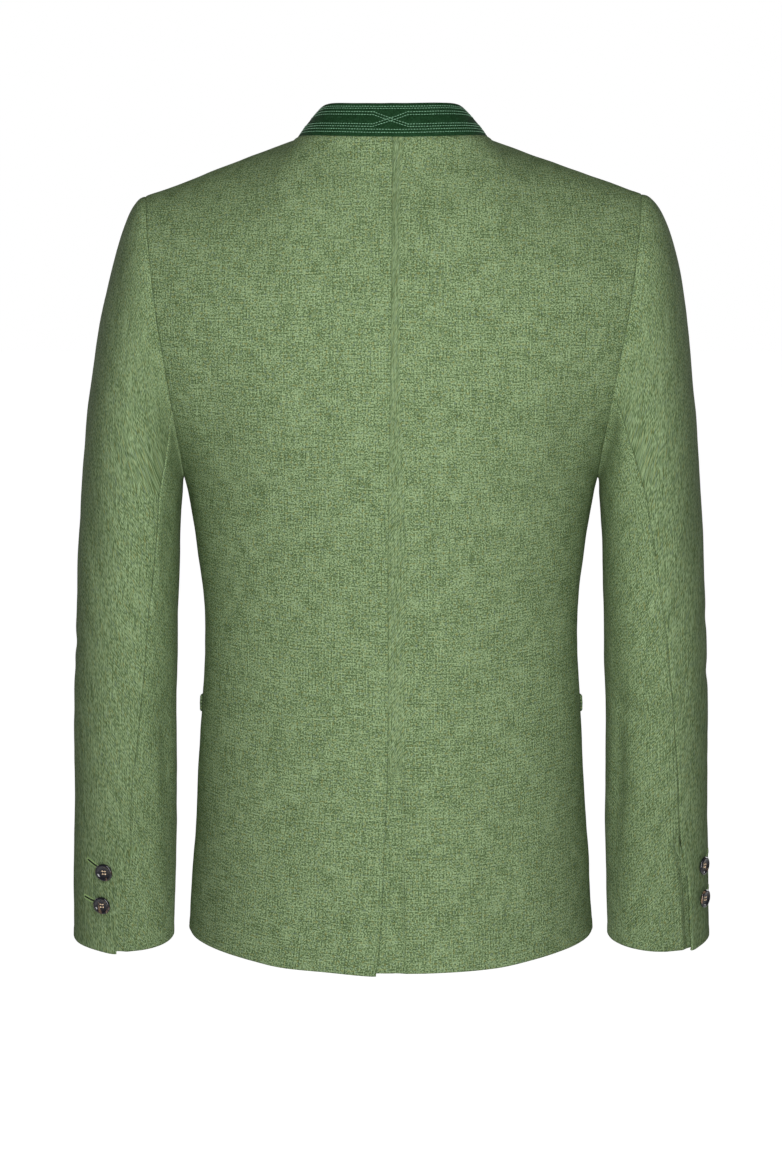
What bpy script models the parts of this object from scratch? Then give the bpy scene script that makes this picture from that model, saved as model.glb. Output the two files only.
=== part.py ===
"""A man's folk jacket as it is worn, with no wearer in it: one solid for each sewn piece.

Metres, +Z up. The origin is the middle of the neck: z = 0 at the collar seam behind, and y = 0 in the
plane of the shoulder and side seams. The front faces -Y, and the wearer's left side is at +X.
"""

from collections import namedtuple
from functools import lru_cache
from math import cos, copysign, exp, radians, sin, sqrt

import bmesh
import bpy
from mathutils import Matrix, Vector

# Cloth
CLOTH = 0.0020
COLLAR_CLOTH = 0.0028
SEAM_GAP = 0.0003
PROBE = 0.002
UP = Vector((0, 0, 1))

# Levels of the body, and how its level sections are rounded
CHEST_LEVEL = -0.170
UNDERARM = -0.290
HEM_CENTRE = -0.6997
CENTRE_REACH = 0.68
SIDE_REACH = 0.30

# Half width at the side seam, and depth of the back and of the front, at each height. Above the underarm
# the section is cut off where it meets the armhole
Body = namedtuple("Body", "height side back front")
BODY = [
    Body(-0.170, 0.2440, 0.112, 0.120),
    Body(-0.200, 0.2290, 0.111, 0.124),
    Body(-0.225, 0.2130, 0.110, 0.127),
    Body(-0.250, 0.1960, 0.108, 0.129),
    Body(-0.270, 0.1852, 0.107, 0.130),
    Body(-0.290, 0.1776, 0.105, 0.130),
    Body(-0.315, 0.1728, 0.101, 0.129),
    Body(-0.350, 0.1670, 0.095, 0.126),
    Body(-0.400, 0.1610, 0.089, 0.122),
    Body(-0.450, 0.1618, 0.091, 0.121),
    Body(-0.500, 0.1646, 0.099, 0.122),
    Body(-0.560, 0.1680, 0.109, 0.124),
    Body(-0.630, 0.1724, 0.117, 0.127),
    Body(-0.700, 0.1770, 0.121, 0.130),
]

# Half width at the edge of each armhole, behind and in front
Armhole = namedtuple("Armhole", "height back front")
ARMHOLE = [
    Armhole(-0.170, 0.1958, 0.1880),
    Armhole(-0.200, 0.1907, 0.1825),
    Armhole(-0.225, 0.1870, 0.1792),
    Armhole(-0.250, 0.1830, 0.1775),
    Armhole(-0.275, 0.1795, 0.1772),
    Armhole(-0.290, 0.1776, 0.1776),
]

# Hem from the centre (share 0) to the side seam (share 1)
Hem = namedtuple("Hem", "share height")
HEM = [
    Hem(0.00, HEM_CENTRE),
    Hem(0.15, -0.6996),
    Hem(0.30, -0.6990),
    Hem(0.42, -0.6962),
    Hem(0.57, -0.6931),
    Hem(0.70, -0.6909),
    Hem(0.85, -0.6882),
    Hem(1.00, -0.6845),
]

# Neck and shoulder, as x, depth from the shoulder line, and z
NECK_SIDE = Vector((0.081, 0.000, -0.0010))
SHOULDER_POINT = Vector((0.2120, 0, -0.0492))
NECK_SHARE = 0.36
NECK = {
    1: (Vector((0, 0.062, 0)), Vector((0.052, 0.062, 0)), Vector((0.081, 0.034, 0.005)), NECK_SIDE),
    -1: (Vector((0, 0.078, -0.072)), Vector((0.044, 0.078, -0.072)), Vector((0.081, 0.04, -0.018)), NECK_SIDE),
}
NECK_ARRIVE = {1: Vector((0, -0.076, 0.117)), -1: Vector((0, -0.045, 0.070))}
COLLAR_CORNER_ARRIVE = Vector((-0.068, -0.120, 0.0249))
SHOULDER_ARRIVE = Vector((0, -0.078, 0))
YOKE_PULL_CENTRE = 1.0
YOKE_PULL_SIDE = 1.35
CREST_REACH = 0.20
CREST_STEPS = 10
CREST_POWER = 12

# Centre-back seam and the edge of the vent below it, measured from the middle
VENT_TOP = -0.527
VENT_UNDERLAP = 0.045
VENT_STEP_DROP = 0.002
VENT_STEP_LENGTH = 0.014
VENT_SINK = 0.0026
VENT_SINK_START = -0.014
VENT_SINK_WIDTH = 0.010
VENT_SINK_HEIGHT = 0.014
CentreSeam = namedtuple("CentreSeam", "height offset")
CENTRE_SEAM = [
    CentreSeam(0.000, -0.0016),
    CentreSeam(-0.090, -0.0009),
    CentreSeam(-0.320, 0.0025),
    CentreSeam(-0.530, 0.0030),
    CentreSeam(-0.573, 0.0050),
    CentreSeam(-0.610, 0.0065),
    CentreSeam(-0.650, 0.0080),
    CentreSeam(-0.700, 0.0132),
]

# Front overlap: the wearer's left front lies on the right one
OVERLAP = 0.018
OVERLAP_LIFT = 0.0026
OVERLAP_LIFT_END = 0.022
OVERLAP_LIFT_FADE = 0.024

# Collar: how far its top edge leans in and rises, round half the neck from centre back to centre front
COLLAR_END_GAP = 0.0032
COLLAR_ROUND = 0.012
COLLAR_SWELL = 0.0012
COLLAR_END_STEPS = (0.55, 0.25, 0.08, 0)
Stand = namedtuple("Stand", "share lean rise")
STAND = [
    Stand(0.00, 0.0180, 0.0273),
    Stand(0.25, 0.0190, 0.0262),
    Stand(0.50, 0.0195, 0.0240),
    Stand(0.75, 0.0150, 0.0285),
    Stand(1.00, 0.0070, 0.0335),
]

# Sleeve: outer, inner, back and front edges of its level sections below the cap
CAP_END = -0.305
SLEEVE_HEM = -0.7034
SLEEVE_HEM_TILT = 0.0062
Sleeve = namedtuple("Sleeve", "height outer inner back front")
SLEEVE = [
    Sleeve(-0.305, 0.2672, 0.1798, 0.0660, -0.0700),
    Sleeve(-0.345, 0.2696, 0.1824, 0.0645, -0.0665),
    Sleeve(-0.380, 0.2712, 0.1835, 0.0615, -0.0645),
    Sleeve(-0.415, 0.2729, 0.1847, 0.0570, -0.0640),
    Sleeve(-0.450, 0.2744, 0.1855, 0.0510, -0.0655),
    Sleeve(-0.485, 0.2760, 0.1869, 0.0440, -0.0690),
    Sleeve(-0.540, 0.2772, 0.1877, 0.0310, -0.0760),
    Sleeve(-0.595, 0.2787, 0.1888, 0.0165, -0.0850),
    Sleeve(-0.650, 0.2812, 0.1908, 0.0030, -0.0950),
    Sleeve(-0.709, 0.2830, 0.1936, -0.0115, -0.1040),
]
CAP_LEAVE_SWING = 0.30
CAP_LEAVE_RISE = 0.10
CAP_LEAVE_FALL = 0.60
CAP_LEAVE_CROWN = 0.088
CAP_LEAVE_UNDERARM = 0.012
CAP_LEAVE_POWER = 0.75
CAP_ARRIVE_CROWN = 0.356
CAP_ARRIVE_UNDERARM = 0.018
CAP_ARRIVE_POWER = 1.1

# Hind seam of each sleeve as an angle round it, 0 behind and 90 outside, from the armhole (drop 0) by the
# end of the cap (1) to the hem (2). The two differ, as the arms hang
HindSeam = namedtuple("HindSeam", "drop left right")
HIND_SEAM = [
    HindSeam(0.00, -44, -37),
    HindSeam(0.28, -51, -35),
    HindSeam(0.58, -47, -27),
    HindSeam(0.80, -41, -18),
    HindSeam(1.00, -37, -10),
    HindSeam(1.13, -36, -2),
    HindSeam(1.24, -31, 5),
    HindSeam(1.35, -27, 10),
    HindSeam(1.50, -21, 16),
    HindSeam(1.60, -13, 20),
    HindSeam(1.70, -10, 22),
    HindSeam(1.75, -11, 24),
    HindSeam(1.78, -7, 26),
    HindSeam(1.85, -4, 32),
    HindSeam(2.00, 4, 37),
]
FORE_SEAM = 216
SLEEVE_VENT_TOP = -0.610
SLEEVE_VENT_UNDERLAP = 26
SLEEVE_VENT_STEP_DROP = 0.002
SLEEVE_VENT_STEP_LENGTH = 0.012
SLEEVE_VENT_SINK = 0.0026
SLEEVE_VENT_SINK_START = 13
SLEEVE_VENT_SINK_WIDTH = 9
SLEEVE_VENT_SINK_HEIGHT = 0.012

# How the jacket sits: its right shoulder is a little higher and wider
SETTLE_END = -0.260
SETTLE_FADE = 0.200
SETTLE_TILT = 0.0060
SETTLE_TILT_START = 0.090
SETTLE_TILT_FADE = 0.100
SETTLE_BODY = 0.0020
SETTLE_BODY_START = 0.030
SETTLE_BODY_FADE = 0.090
SETTLE_SLEEVE = 0.0023
SETTLE_SLEEVE_START = 0.205
SETTLE_SLEEVE_FADE = 0.030

# Soft troughs and ridges of the cloth, placed by the middle, half length and half width of each. They
# fade out towards the side seam
FOLD_FADE_START = 0.75
FOLD_FADE = 0.20
Fold = namedtuple("Fold", "across height length width turn depth")
BACK_FOLDS = [
    Fold(-0.022, -0.560, 0.060, 0.010, 82, -0.0022),
    Fold(0.105, -0.330, 0.070, 0.014, -35, -0.0016),
    Fold(-0.110, -0.345, 0.075, 0.014, 38, -0.0018),
    Fold(0.075, -0.640, 0.090, 0.022, 86, -0.0018),
    Fold(-0.095, -0.650, 0.080, 0.022, 94, -0.0016),
]
FRONT_FOLDS = [
    Fold(0.090, -0.300, 0.080, 0.016, 60, -0.0020),
    Fold(-0.085, -0.310, 0.075, 0.016, -58, -0.0018),
    Fold(0.085, -0.640, 0.080, 0.022, 88, -0.0018),
    Fold(-0.100, -0.630, 0.090, 0.022, 92, -0.0018),
]
SLEEVE_FOLDS = {
    1: [
        Fold(0.115, -0.425, 0.045, 0.009, 12, -0.0030),
        Fold(0.120, -0.460, 0.040, 0.008, -8, -0.0026),
        Fold(-0.030, -0.505, 0.035, 0.010, 35, -0.0016),
        Fold(0.030, -0.350, 0.060, 0.014, 70, -0.0014),
    ],
    -1: [
        Fold(0.118, -0.420, 0.048, 0.009, -10, -0.0030),
        Fold(0.112, -0.455, 0.040, 0.008, 6, -0.0026),
        Fold(-0.028, -0.495, 0.040, 0.010, -38, -0.0020),
        Fold(0.034, -0.360, 0.060, 0.014, 74, -0.0014),
    ],
}
SLEEVE_RADIUS = 0.050

# Buttons: a turned disc with a raised rim and four holes. The outline runs from its face to its back
Turning = namedtuple("Turning", "radius height")
BUTTON_OUTLINE = [
    Turning(0.0000, 0.0022),
    Turning(0.0046, 0.0022),
    Turning(0.0058, 0.0030),
    Turning(0.0068, 0.0034),
    Turning(0.0080, 0.0021),
    Turning(0.0078, 0.0012),
    Turning(0.0058, 0.0000),
    Turning(0.0000, 0.0000),
]
BUTTON_STEPS = 20
BUTTON_HOLES = 4
BUTTON_HOLE_RADIUS = 0.0008
BUTTON_HOLE_PLACE = 0.0018
BUTTON_HOLE_SIDES = 6
BUTTON_DRILL_LENGTH = 0.0120
BUTTON_MERGE = 0.00001
BUTTON_SEAT = 0.0006
CuffButton = namedtuple("CuffButton", "height left right")
CUFF_BUTTONS = [
    CuffButton(-0.635, 18, 56),
    CuffButton(-0.666, 20, 57),
]
FRONT_BUTTON_HEIGHTS = (-0.098, -0.198, -0.298, -0.398, -0.498)

# Hip pocket welts on the fronts
WELT_TOP = -0.4800
WELT_BOTTOM = -0.4945
WELT_NEAR_SIDE = 0.985
WELT_NEAR_CENTRE = 0.34
WELT_CLOTH = 0.0014
WELT_GAPE = 0.0004

# Colours and finish
JACKET_GREEN = (0.185, 0.268, 0.130, 1)
COLLAR_GREEN = (0.018, 0.060, 0.026, 1)
HORN = (0.012, 0.012, 0.016, 1)
CLOTH_ROUGHNESS = 0.9
HORN_ROUGHNESS = 0.35
SHARP_ANGLE = 35


# Numbers and curves

def mix(start, end, share):
    return start + (end - start) * share


def smooth(share):
    share = min(max(share, 0.0), 1.0)
    return share * share * (3 - 2 * share)


def ramp(value, start, length):
    return smooth((value - start) / length)


def bezier(start, leave, arrive, end, t):
    s = 1 - t
    return start * s**3 + leave * (3 * s * s * t) + arrive * (3 * s * t * t) + end * t**3


def hermite(start, leave, end, arrive, t):
    return bezier(start, start + leave / 3, end - arrive / 3, end, t)


def read(table, key):
    """Row of a table at any value of its first column, on smooth curves through its rows"""
    rising = table[-1][0] > table[0][0]
    rows = table if rising else table[::-1]
    key = min(max(key, rows[0][0]), rows[-1][0])
    place = 0
    while place < len(rows) - 2 and key > rows[place + 1][0]:
        place += 1
    before = rows[max(place - 1, 0)]
    low, high = rows[place], rows[place + 1]
    after = rows[min(place + 2, len(rows) - 1)]
    span = high[0] - low[0]
    share = (key - low[0]) / span
    values = [key]
    for column in range(1, len(low)):
        leave = (high[column] - before[column]) / (high[0] - before[0]) * span
        arrive = (after[column] - low[column]) / (after[0] - low[0]) * span
        values.append(hermite(low[column], leave, high[column], arrive, share))
    return type(low)(*values)


def spaced(start, end, count):
    return [mix(start, end, i / count) for i in range(count + 1)]


# How the whole jacket sits

def settle(point):
    """Lift and shift of the shoulders, which fades out below the armholes"""
    fade = ramp(point.z, SETTLE_END, SETTLE_FADE)
    far = abs(point.x)
    shift = SETTLE_BODY * ramp(far, SETTLE_BODY_START, SETTLE_BODY_FADE)
    shift += SETTLE_SLEEVE * ramp(far, SETTLE_SLEEVE_START, SETTLE_SLEEVE_FADE)
    tilt = SETTLE_TILT * point.x * ramp(far, SETTLE_TILT_START, SETTLE_TILT_FADE)
    return point + Vector((-shift * fade, 0, -tilt * fade))


def fold_depth(folds, across, height):
    total = 0.0
    for fold in folds:
        dx, dz = across - fold.across, height - fold.height
        turn = radians(fold.turn)
        along = dx * cos(turn) + dz * sin(turn)
        beside = dz * cos(turn) - dx * sin(turn)
        total += fold.depth * exp(-(along / fold.length)**2 - (beside / fold.width)**2)
    return total


# Body: level sections up to the chest, and a yoke from there to the neck and shoulder seams

@lru_cache(maxsize=None)
def armhole_cut(height, face):
    """Share of the section's curve that lies inside the armhole's edge"""
    if height <= UNDERARM:
        return 1.0
    hole = read(ARMHOLE, height)
    target = (hole.back if face > 0 else hole.front) / read(BODY, height).side
    low, high = 0.0, 1.0
    for _ in range(30):
        share = (low + high) / 2
        if bezier(0, CENTRE_REACH, 1, 1, share) < target:
            low = share
        else:
            high = share
    return low


def level(t, height, face):
    """Point of the level section, from the centre (t = 0) to the side seam or armhole (t = 1)"""
    row = read(BODY, height)
    depth = row.back if face > 0 else row.front
    share = t * armhole_cut(height, face)
    across = row.side * bezier(0, CENTRE_REACH, 1, 1, share)
    return Vector((across, depth * bezier(1, 1, SIDE_REACH, 0, share), height))


def crest(t, face):
    """Point on the neck seam or the shoulder seam, and the way the yoke arrives there"""
    if t <= NECK_SHARE:
        q = t / NECK_SHARE
        return bezier(*NECK[face], q), NECK_ARRIVE[face].lerp(COLLAR_CORNER_ARRIVE, smooth(q))
    q = (t - NECK_SHARE) / (1 - NECK_SHARE)
    return mix(NECK_SIDE, SHOULDER_POINT, q), COLLAR_CORNER_ARRIVE.lerp(SHOULDER_ARRIVE, q)


def rounded_crest(t, face):
    """The crest with the neck's side corner rounded off"""
    total = Vector()
    for place in spaced(t - CREST_REACH, t + CREST_REACH, CREST_STEPS):
        point = crest(abs(place), face)[0]
        total += Vector((copysign(point.x, place), point.y, point.z))
    return total / (CREST_STEPS + 1)


def yoke(t, rise, face):
    """The yoke follows the rounded crest, and bends to the true one only near the seam"""
    foot = level(t, CHEST_LEVEL, face)
    lean = (foot - level(t, CHEST_LEVEL - PROBE, face)) / PROBE
    seam, arrive = crest(t, face)
    top = rounded_crest(t, face)
    pull = mix(YOKE_PULL_CENTRE, YOKE_PULL_SIDE, smooth(t / NECK_SHARE)) * (top.z - foot.z)
    near_seam = rise**CREST_POWER * (1 + CREST_POWER * (1 - rise))
    return hermite(foot, lean * pull, top, arrive, rise) + (seam - top) * near_seam


def hem_height(t):
    return read(HEM, t).height


def height_at(climb, t=0.0):
    """Height of a row of the body: climb is 0 at the hem, 1 underarm, 2 at the chest, 3 at the top"""
    if climb <= 1:
        return mix(hem_height(t), UNDERARM, climb)
    if climb <= 2:
        return mix(UNDERARM, CHEST_LEVEL, climb - 1)
    return mix(CHEST_LEVEL, 0, climb - 2)


def body(w, climb, face):
    """Outer face of the body, with w from -1 at its right side to 1 at its left, face 1 behind"""
    t = abs(w)
    if climb <= 2:
        point = level(t, height_at(climb, t), face)
    else:
        point = yoke(t, climb - 2, face)
    across = copysign(point.x, w)
    folds = BACK_FOLDS if face > 0 else FRONT_FOLDS
    point.y += fold_depth(folds, across, point.z) * (1 - ramp(t, FOLD_FADE_START, FOLD_FADE))
    return Vector((across, point.y * face, point.z))


def w_at(x, climb):
    """Where a short distance from the middle lies on the row"""
    return x / (3 * CENTRE_REACH * read(BODY, height_at(climb)).side)


def climb_of(height):
    return (height - HEM_CENTRE) / (UNDERARM - HEM_CENTRE)


# Trims that leave the seams open, and the rows and columns of the panels
SIDE_TRIM = 0.0010
CENTRE_TRIM = 0.0005
TOP_TRIM = 0.0015
YOKE_ROWS = spaced(2, 3 - TOP_TRIM, 7)[1:]
ARMHOLE_ROWS = spaced(1, 2, 5)[1:]
VENT_STEP_TOP = VENT_TOP - VENT_STEP_DROP
BACK_HEIGHTS = (HEM_CENTRE, -0.672, -0.645, -0.615, -0.585, -0.558, VENT_STEP_TOP - VENT_STEP_LENGTH,
                VENT_STEP_TOP, VENT_TOP, VENT_TOP + VENT_SINK_HEIGHT, -0.480, -0.445, -0.410, -0.375, -0.345,
                -0.315)
BACK_ROWS = [climb_of(h) for h in BACK_HEIGHTS] + [1] + ARMHOLE_ROWS + YOKE_ROWS
FRONT_HEIGHTS = (HEM_CENTRE, -0.665, -0.630, -0.595, -0.560, -0.525, -0.490, -0.455, -0.420, -0.385, -0.350,
                 -0.318)
FRONT_ROWS = [climb_of(h) for h in FRONT_HEIGHTS] + [1] + ARMHOLE_ROWS + YOKE_ROWS
NECK_PLACES = (0, 0.10, 0.22, 0.36, 0.52, 0.68, 0.84, 1)
NECK_COLUMNS = [NECK_SHARE * place for place in NECK_PLACES]
SIDE_COLUMNS = spaced(NECK_SHARE, 1, 7)[1:]
PANEL_COLUMNS = NECK_COLUMNS + SIDE_COLUMNS


def spread(u, start):
    """Place across a panel that begins at start, with the neck's corner always at NECK_SHARE"""
    if u < NECK_SHARE:
        return mix(start, NECK_SHARE, u / NECK_SHARE)
    return mix(NECK_SHARE, 1 - SIDE_TRIM, (u - NECK_SHARE) / (1 - NECK_SHARE))


def back_left(u, v):
    start = w_at(read(CENTRE_SEAM, height_at(v)).offset, v) + CENTRE_TRIM
    return settle(body(spread(u, start), v, 1))


def vent_edge(height):
    """Edge of the right back: on the seam, and below the vent's top under the left back"""
    seam = read(CENTRE_SEAM, height).offset
    return mix(seam, VENT_UNDERLAP, ramp(-height, -VENT_STEP_TOP, VENT_STEP_LENGTH))


def back_right(u, v):
    """From the side seam (u = 0) to near the centre (u = 1), and on to the seam or vent edge (u = 2)"""
    height = height_at(v)
    near = w_at(VENT_SINK_START, v)
    edge = w_at(vent_edge(height), v) - CENTRE_TRIM
    w = -spread(1 - u, -near) if u <= 1 else mix(near, edge, u - 1)
    point = body(w, v, 1)
    sink = ramp(point.x, VENT_SINK_START, VENT_SINK_WIDTH)
    sink *= ramp(-height, -VENT_TOP - VENT_SINK_HEIGHT, VENT_SINK_HEIGHT)
    point.y -= VENT_SINK * sink
    return settle(point)


def front(side, u, v):
    """From the edge past the centre (u = -1) by the centre (u = 0) to the side seam (u = 1)"""
    w = spread(u, 0) if u > 0 else u * w_at(OVERLAP, v)
    point = body(w * side, v, -1)
    lift = OVERLAP_LIFT * (1 - ramp(point.x, OVERLAP_LIFT_END, OVERLAP_LIFT_FADE))
    if side > 0 and lift > 0:
        point, normal = framed(lambda a, b: body(a, b, -1), w, v, 1)
        point += normal * lift
    return settle(point)


# Sleeves: a cap lofted from the armhole, then level sections down to the hem

def armhole(side, theta):
    """Point of the armhole's edge: theta is 0 behind, 90 at the shoulder, 180 in front, 270 below"""
    if theta <= 90:
        face, angle = 1, theta
    else:
        face, angle = -1, 180 - theta
    climb = 2 + angle / 90
    return body(side, climb, face)


def sleeve_section(theta, height):
    row = read(SLEEVE, height)
    angle = radians(theta)
    x = mix(row.inner, row.outer, (1 + sin(angle)) / 2)
    y = mix(row.front, row.back, (1 + cos(angle)) / 2)
    return Vector((x, y, height))


def sleeve_hem(theta):
    return SLEEVE_HEM - SLEEVE_HEM_TILT * cos(radians(theta))


def cap(side, theta, drop):
    angle = radians(theta)
    upper = (1 + sin(angle)) / 2
    start = armhole(side, theta)
    start.x = abs(start.x)
    lift = CAP_LEAVE_RISE * upper - CAP_LEAVE_FALL * (1 - upper)**2
    leave = Vector((1, CAP_LEAVE_SWING * cos(angle), lift))
    start += leave.normalized() * SEAM_GAP
    leave *= mix(CAP_LEAVE_UNDERARM, CAP_LEAVE_CROWN, upper**CAP_LEAVE_POWER)
    end = sleeve_section(theta, CAP_END)
    lean = (sleeve_section(theta, CAP_END - PROBE) - end) / PROBE
    arrive = lean * mix(CAP_ARRIVE_UNDERARM, CAP_ARRIVE_CROWN, upper**CAP_ARRIVE_POWER)
    return hermite(start, leave, end, arrive, drop)


def sleeve(side, theta, drop, sink=0.0):
    """Outer face of a sleeve: drop is 0 at the armhole, 1 at the end of the cap and 2 at the hem"""
    if drop <= 1:
        point = cap(side, theta, drop)
    else:
        point = sleeve_section(theta, mix(CAP_END, sleeve_hem(theta), drop - 1))
    across = SLEEVE_RADIUS * radians(theta)
    depth = fold_depth(SLEEVE_FOLDS[side], across, point.z) - sink
    if depth:
        angle = radians(theta)
        point += Vector((sin(angle), cos(angle), 0)) * depth
    point.x *= side
    return settle(point)


def drop_of(height):
    return 1 + (height - CAP_END) / (SLEEVE_HEM - SLEEVE_HEM_TILT - CAP_END)


def hind_seam(side, drop):
    row = read(HIND_SEAM, drop)
    return row.left if side > 0 else row.right


# Trim in degrees that leaves the seams open, and the rows and columns of the sleeves
SEAM_TRIM = 0.20
SLEEVE_STEP_TOP = SLEEVE_VENT_TOP - SLEEVE_VENT_STEP_DROP
SLEEVE_STEP_END = SLEEVE_STEP_TOP - SLEEVE_VENT_STEP_LENGTH
CAP_ROWS = [0, 0.05, 0.12, 0.22, 0.35, 0.50, 0.67, 0.84]
ARM_ROWS = spaced(1, drop_of(SLEEVE_VENT_TOP + 0.030), 7)
VENT_HEIGHTS = (SLEEVE_VENT_TOP + SLEEVE_VENT_SINK_HEIGHT, SLEEVE_VENT_TOP, SLEEVE_STEP_TOP)
VENT_ROWS = [drop_of(h) for h in VENT_HEIGHTS] + spaced(drop_of(SLEEVE_STEP_END), 2, 3)
SLEEVE_ROWS = CAP_ROWS + ARM_ROWS + VENT_ROWS
UPPER_COLUMNS = spaced(0, 1, 17)
UNDER_COLUMNS = spaced(0, 1, 6) + spaced(1, 2, 3)[1:]


def upper_sleeve(side, u, v):
    """Outer half, from the hind seam (u = 0) round the outside to the fore seam (u = 1)"""
    return sleeve(side, mix(hind_seam(side, v) + SEAM_TRIM, FORE_SEAM - SEAM_TRIM, u), v)


def under_sleeve(side, u, v):
    """Inner half, from the fore seam (u = 0) to near the hind seam (u = 1) and to its edge (u = 2)"""
    height = mix(CAP_END, SLEEVE_HEM - SLEEVE_HEM_TILT, v - 1)
    seam = hind_seam(side, v)
    near = seam - SLEEVE_VENT_SINK_START
    underlap = SLEEVE_VENT_UNDERLAP * ramp(-height, -SLEEVE_STEP_TOP, SLEEVE_VENT_STEP_LENGTH)
    edge = seam - SEAM_TRIM + underlap
    theta = mix(FORE_SEAM + SEAM_TRIM - 360, near, u) if u <= 1 else mix(near, edge, u - 1)
    sink = SLEEVE_VENT_SINK * ramp(theta, near, SLEEVE_VENT_SINK_WIDTH)
    sink *= ramp(-height, -SLEEVE_VENT_TOP - SLEEVE_VENT_SINK_HEIGHT, SLEEVE_VENT_SINK_HEIGHT)
    return sleeve(side, theta % 360 if theta < -90 else theta, v, sink)


# Collar: a stand that leans in from the neck seam

def neck_curve(share):
    """Point of the neck seam, share 0 at centre back, 0.5 at the shoulder and 1 at centre front"""
    face, q = (1, share * 2) if share <= 0.5 else (-1, 2 - share * 2)
    point = bezier(*NECK[face], q)
    return Vector((point.x, point.y * face, point.z))


def neck_seam(share):
    """The same seam as the panels' edges have it, straight between their columns"""
    place = 0
    while place < len(NECK_STOPS) - 2 and share > NECK_STOPS[place + 1]:
        place += 1
    low, high = NECK_STOPS[place], NECK_STOPS[place + 1]
    return neck_curve(low).lerp(neck_curve(high), (share - low) / (high - low))


NECK_STOPS = [q / 2 for q in NECK_PLACES] + [1 - q / 2 for q in NECK_PLACES[-2::-1]]
NECK_END_SPEED = 6 * NECK[-1][1].x


def collar(w, h):
    """Outer face of the collar: w is 0 at centre back and 1 at its left end, h 0 at the seam, 1 on top"""
    share = abs(w)
    base = neck_seam(share)
    ahead = neck_curve(min(share + PROBE, 1)) - neck_curve(max(share - PROBE, 0))
    inward = ahead.cross(UP)
    inward.z = 0
    inward.normalize()
    stand = read(STAND, share)
    to_end = (1 - share) * NECK_END_SPEED - COLLAR_END_GAP
    rise = stand.rise
    if to_end < COLLAR_ROUND:
        rise -= COLLAR_ROUND - sqrt(max(COLLAR_ROUND**2 - (COLLAR_ROUND - to_end)**2, 0))
    swell = COLLAR_SWELL * 4 * h * (1 - h)
    height = rise * h
    point = base + inward * (stand.lean * height / stand.rise - swell) + UP * (height + SEAM_GAP)
    point.x = max(point.x, 0) * copysign(1, w)
    return settle(point)


COLLAR_ENDS = [1 - (COLLAR_END_GAP + step * COLLAR_ROUND) / NECK_END_SPEED for step in COLLAR_END_STEPS]
COLLAR_HALF = [q / 2 for q in NECK_PLACES] + [1 - q / 2 for q in NECK_PLACES[-2:0:-1]] + COLLAR_ENDS
COLLAR_COLUMNS = [-w for w in COLLAR_HALF[:0:-1]] + COLLAR_HALF


# Pocket welts, made from the points of the fronts

def welt(side, u, v):
    t = mix(WELT_NEAR_CENTRE, WELT_NEAR_SIDE, u)
    rise = mix(WELT_BOTTOM, WELT_TOP, v)
    climb = (rise - hem_height(t)) / (UNDERARM - hem_height(t))
    point, normal = framed(lambda a, b: body(a * side, b, -1), t, climb, side)
    return settle(point + normal * (SEAM_GAP + WELT_CLOTH + WELT_GAPE * v))


# Making the solids

def framed(surface, u, v, outward):
    """Point of a surface and its unit normal on the outward side"""
    along_u = surface(u + PROBE, v) - surface(u - PROBE, v)
    along_v = surface(u, v + PROBE) - surface(u, v - PROBE)
    return surface(u, v), along_u.cross(along_v).normalized() * outward


def painted(name, colour, roughness):
    material = bpy.data.materials.new(name)
    material.use_nodes = True
    shader = material.node_tree.nodes["Principled BSDF"]
    shader.inputs["Base Color"].default_value = colour
    shader.inputs["Roughness"].default_value = roughness
    shader.inputs["Metallic"].default_value = 0.0
    material.diffuse_color = colour
    return material


def placed(collection, name, mesh, colour, roughness):
    piece = bpy.data.objects.new(name, mesh)
    collection.objects.link(piece)
    piece.data.materials.clear()
    piece.data.materials.append(painted(name, colour, roughness))
    return piece


def cloth_wall(collection, name, surface, us, vs, outward, thickness=CLOTH, colour=JACKET_GREEN):
    """Wall with its outer face on surface(u, v): a grid made thick, then laid row by row"""
    shape = bmesh.new()
    bmesh.ops.create_grid(shape, x_segments=len(us) - 1, y_segments=len(vs) - 1, size=1)
    made = bmesh.ops.extrude_face_region(shape, geom=shape.faces[:], use_keep_orig=True)
    inner = {item for item in made["geom"] if isinstance(item, bmesh.types.BMVert)}
    half = max(vert.co.x for vert in shape.verts)
    for vert in shape.verts:
        u = us[round((vert.co.x / half + 1) / 2 * (len(us) - 1))]
        v = vs[round((vert.co.y / half + 1) / 2 * (len(vs) - 1))]
        point, normal = framed(surface, u, v, outward)
        vert.co = point - normal * thickness if vert in inner else point
    bmesh.ops.recalc_face_normals(shape, faces=shape.faces[:])
    if shape.calc_volume(signed=True) < 0:
        bmesh.ops.reverse_faces(shape, faces=shape.faces[:])
    mesh = bpy.data.meshes.new(name)
    shape.to_mesh(mesh)
    shape.free()
    mesh.shade_smooth()
    mesh.set_sharp_from_angle(angle=radians(SHARP_ANGLE))
    return placed(collection, name, mesh, colour, CLOTH_ROUGHNESS)


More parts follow.
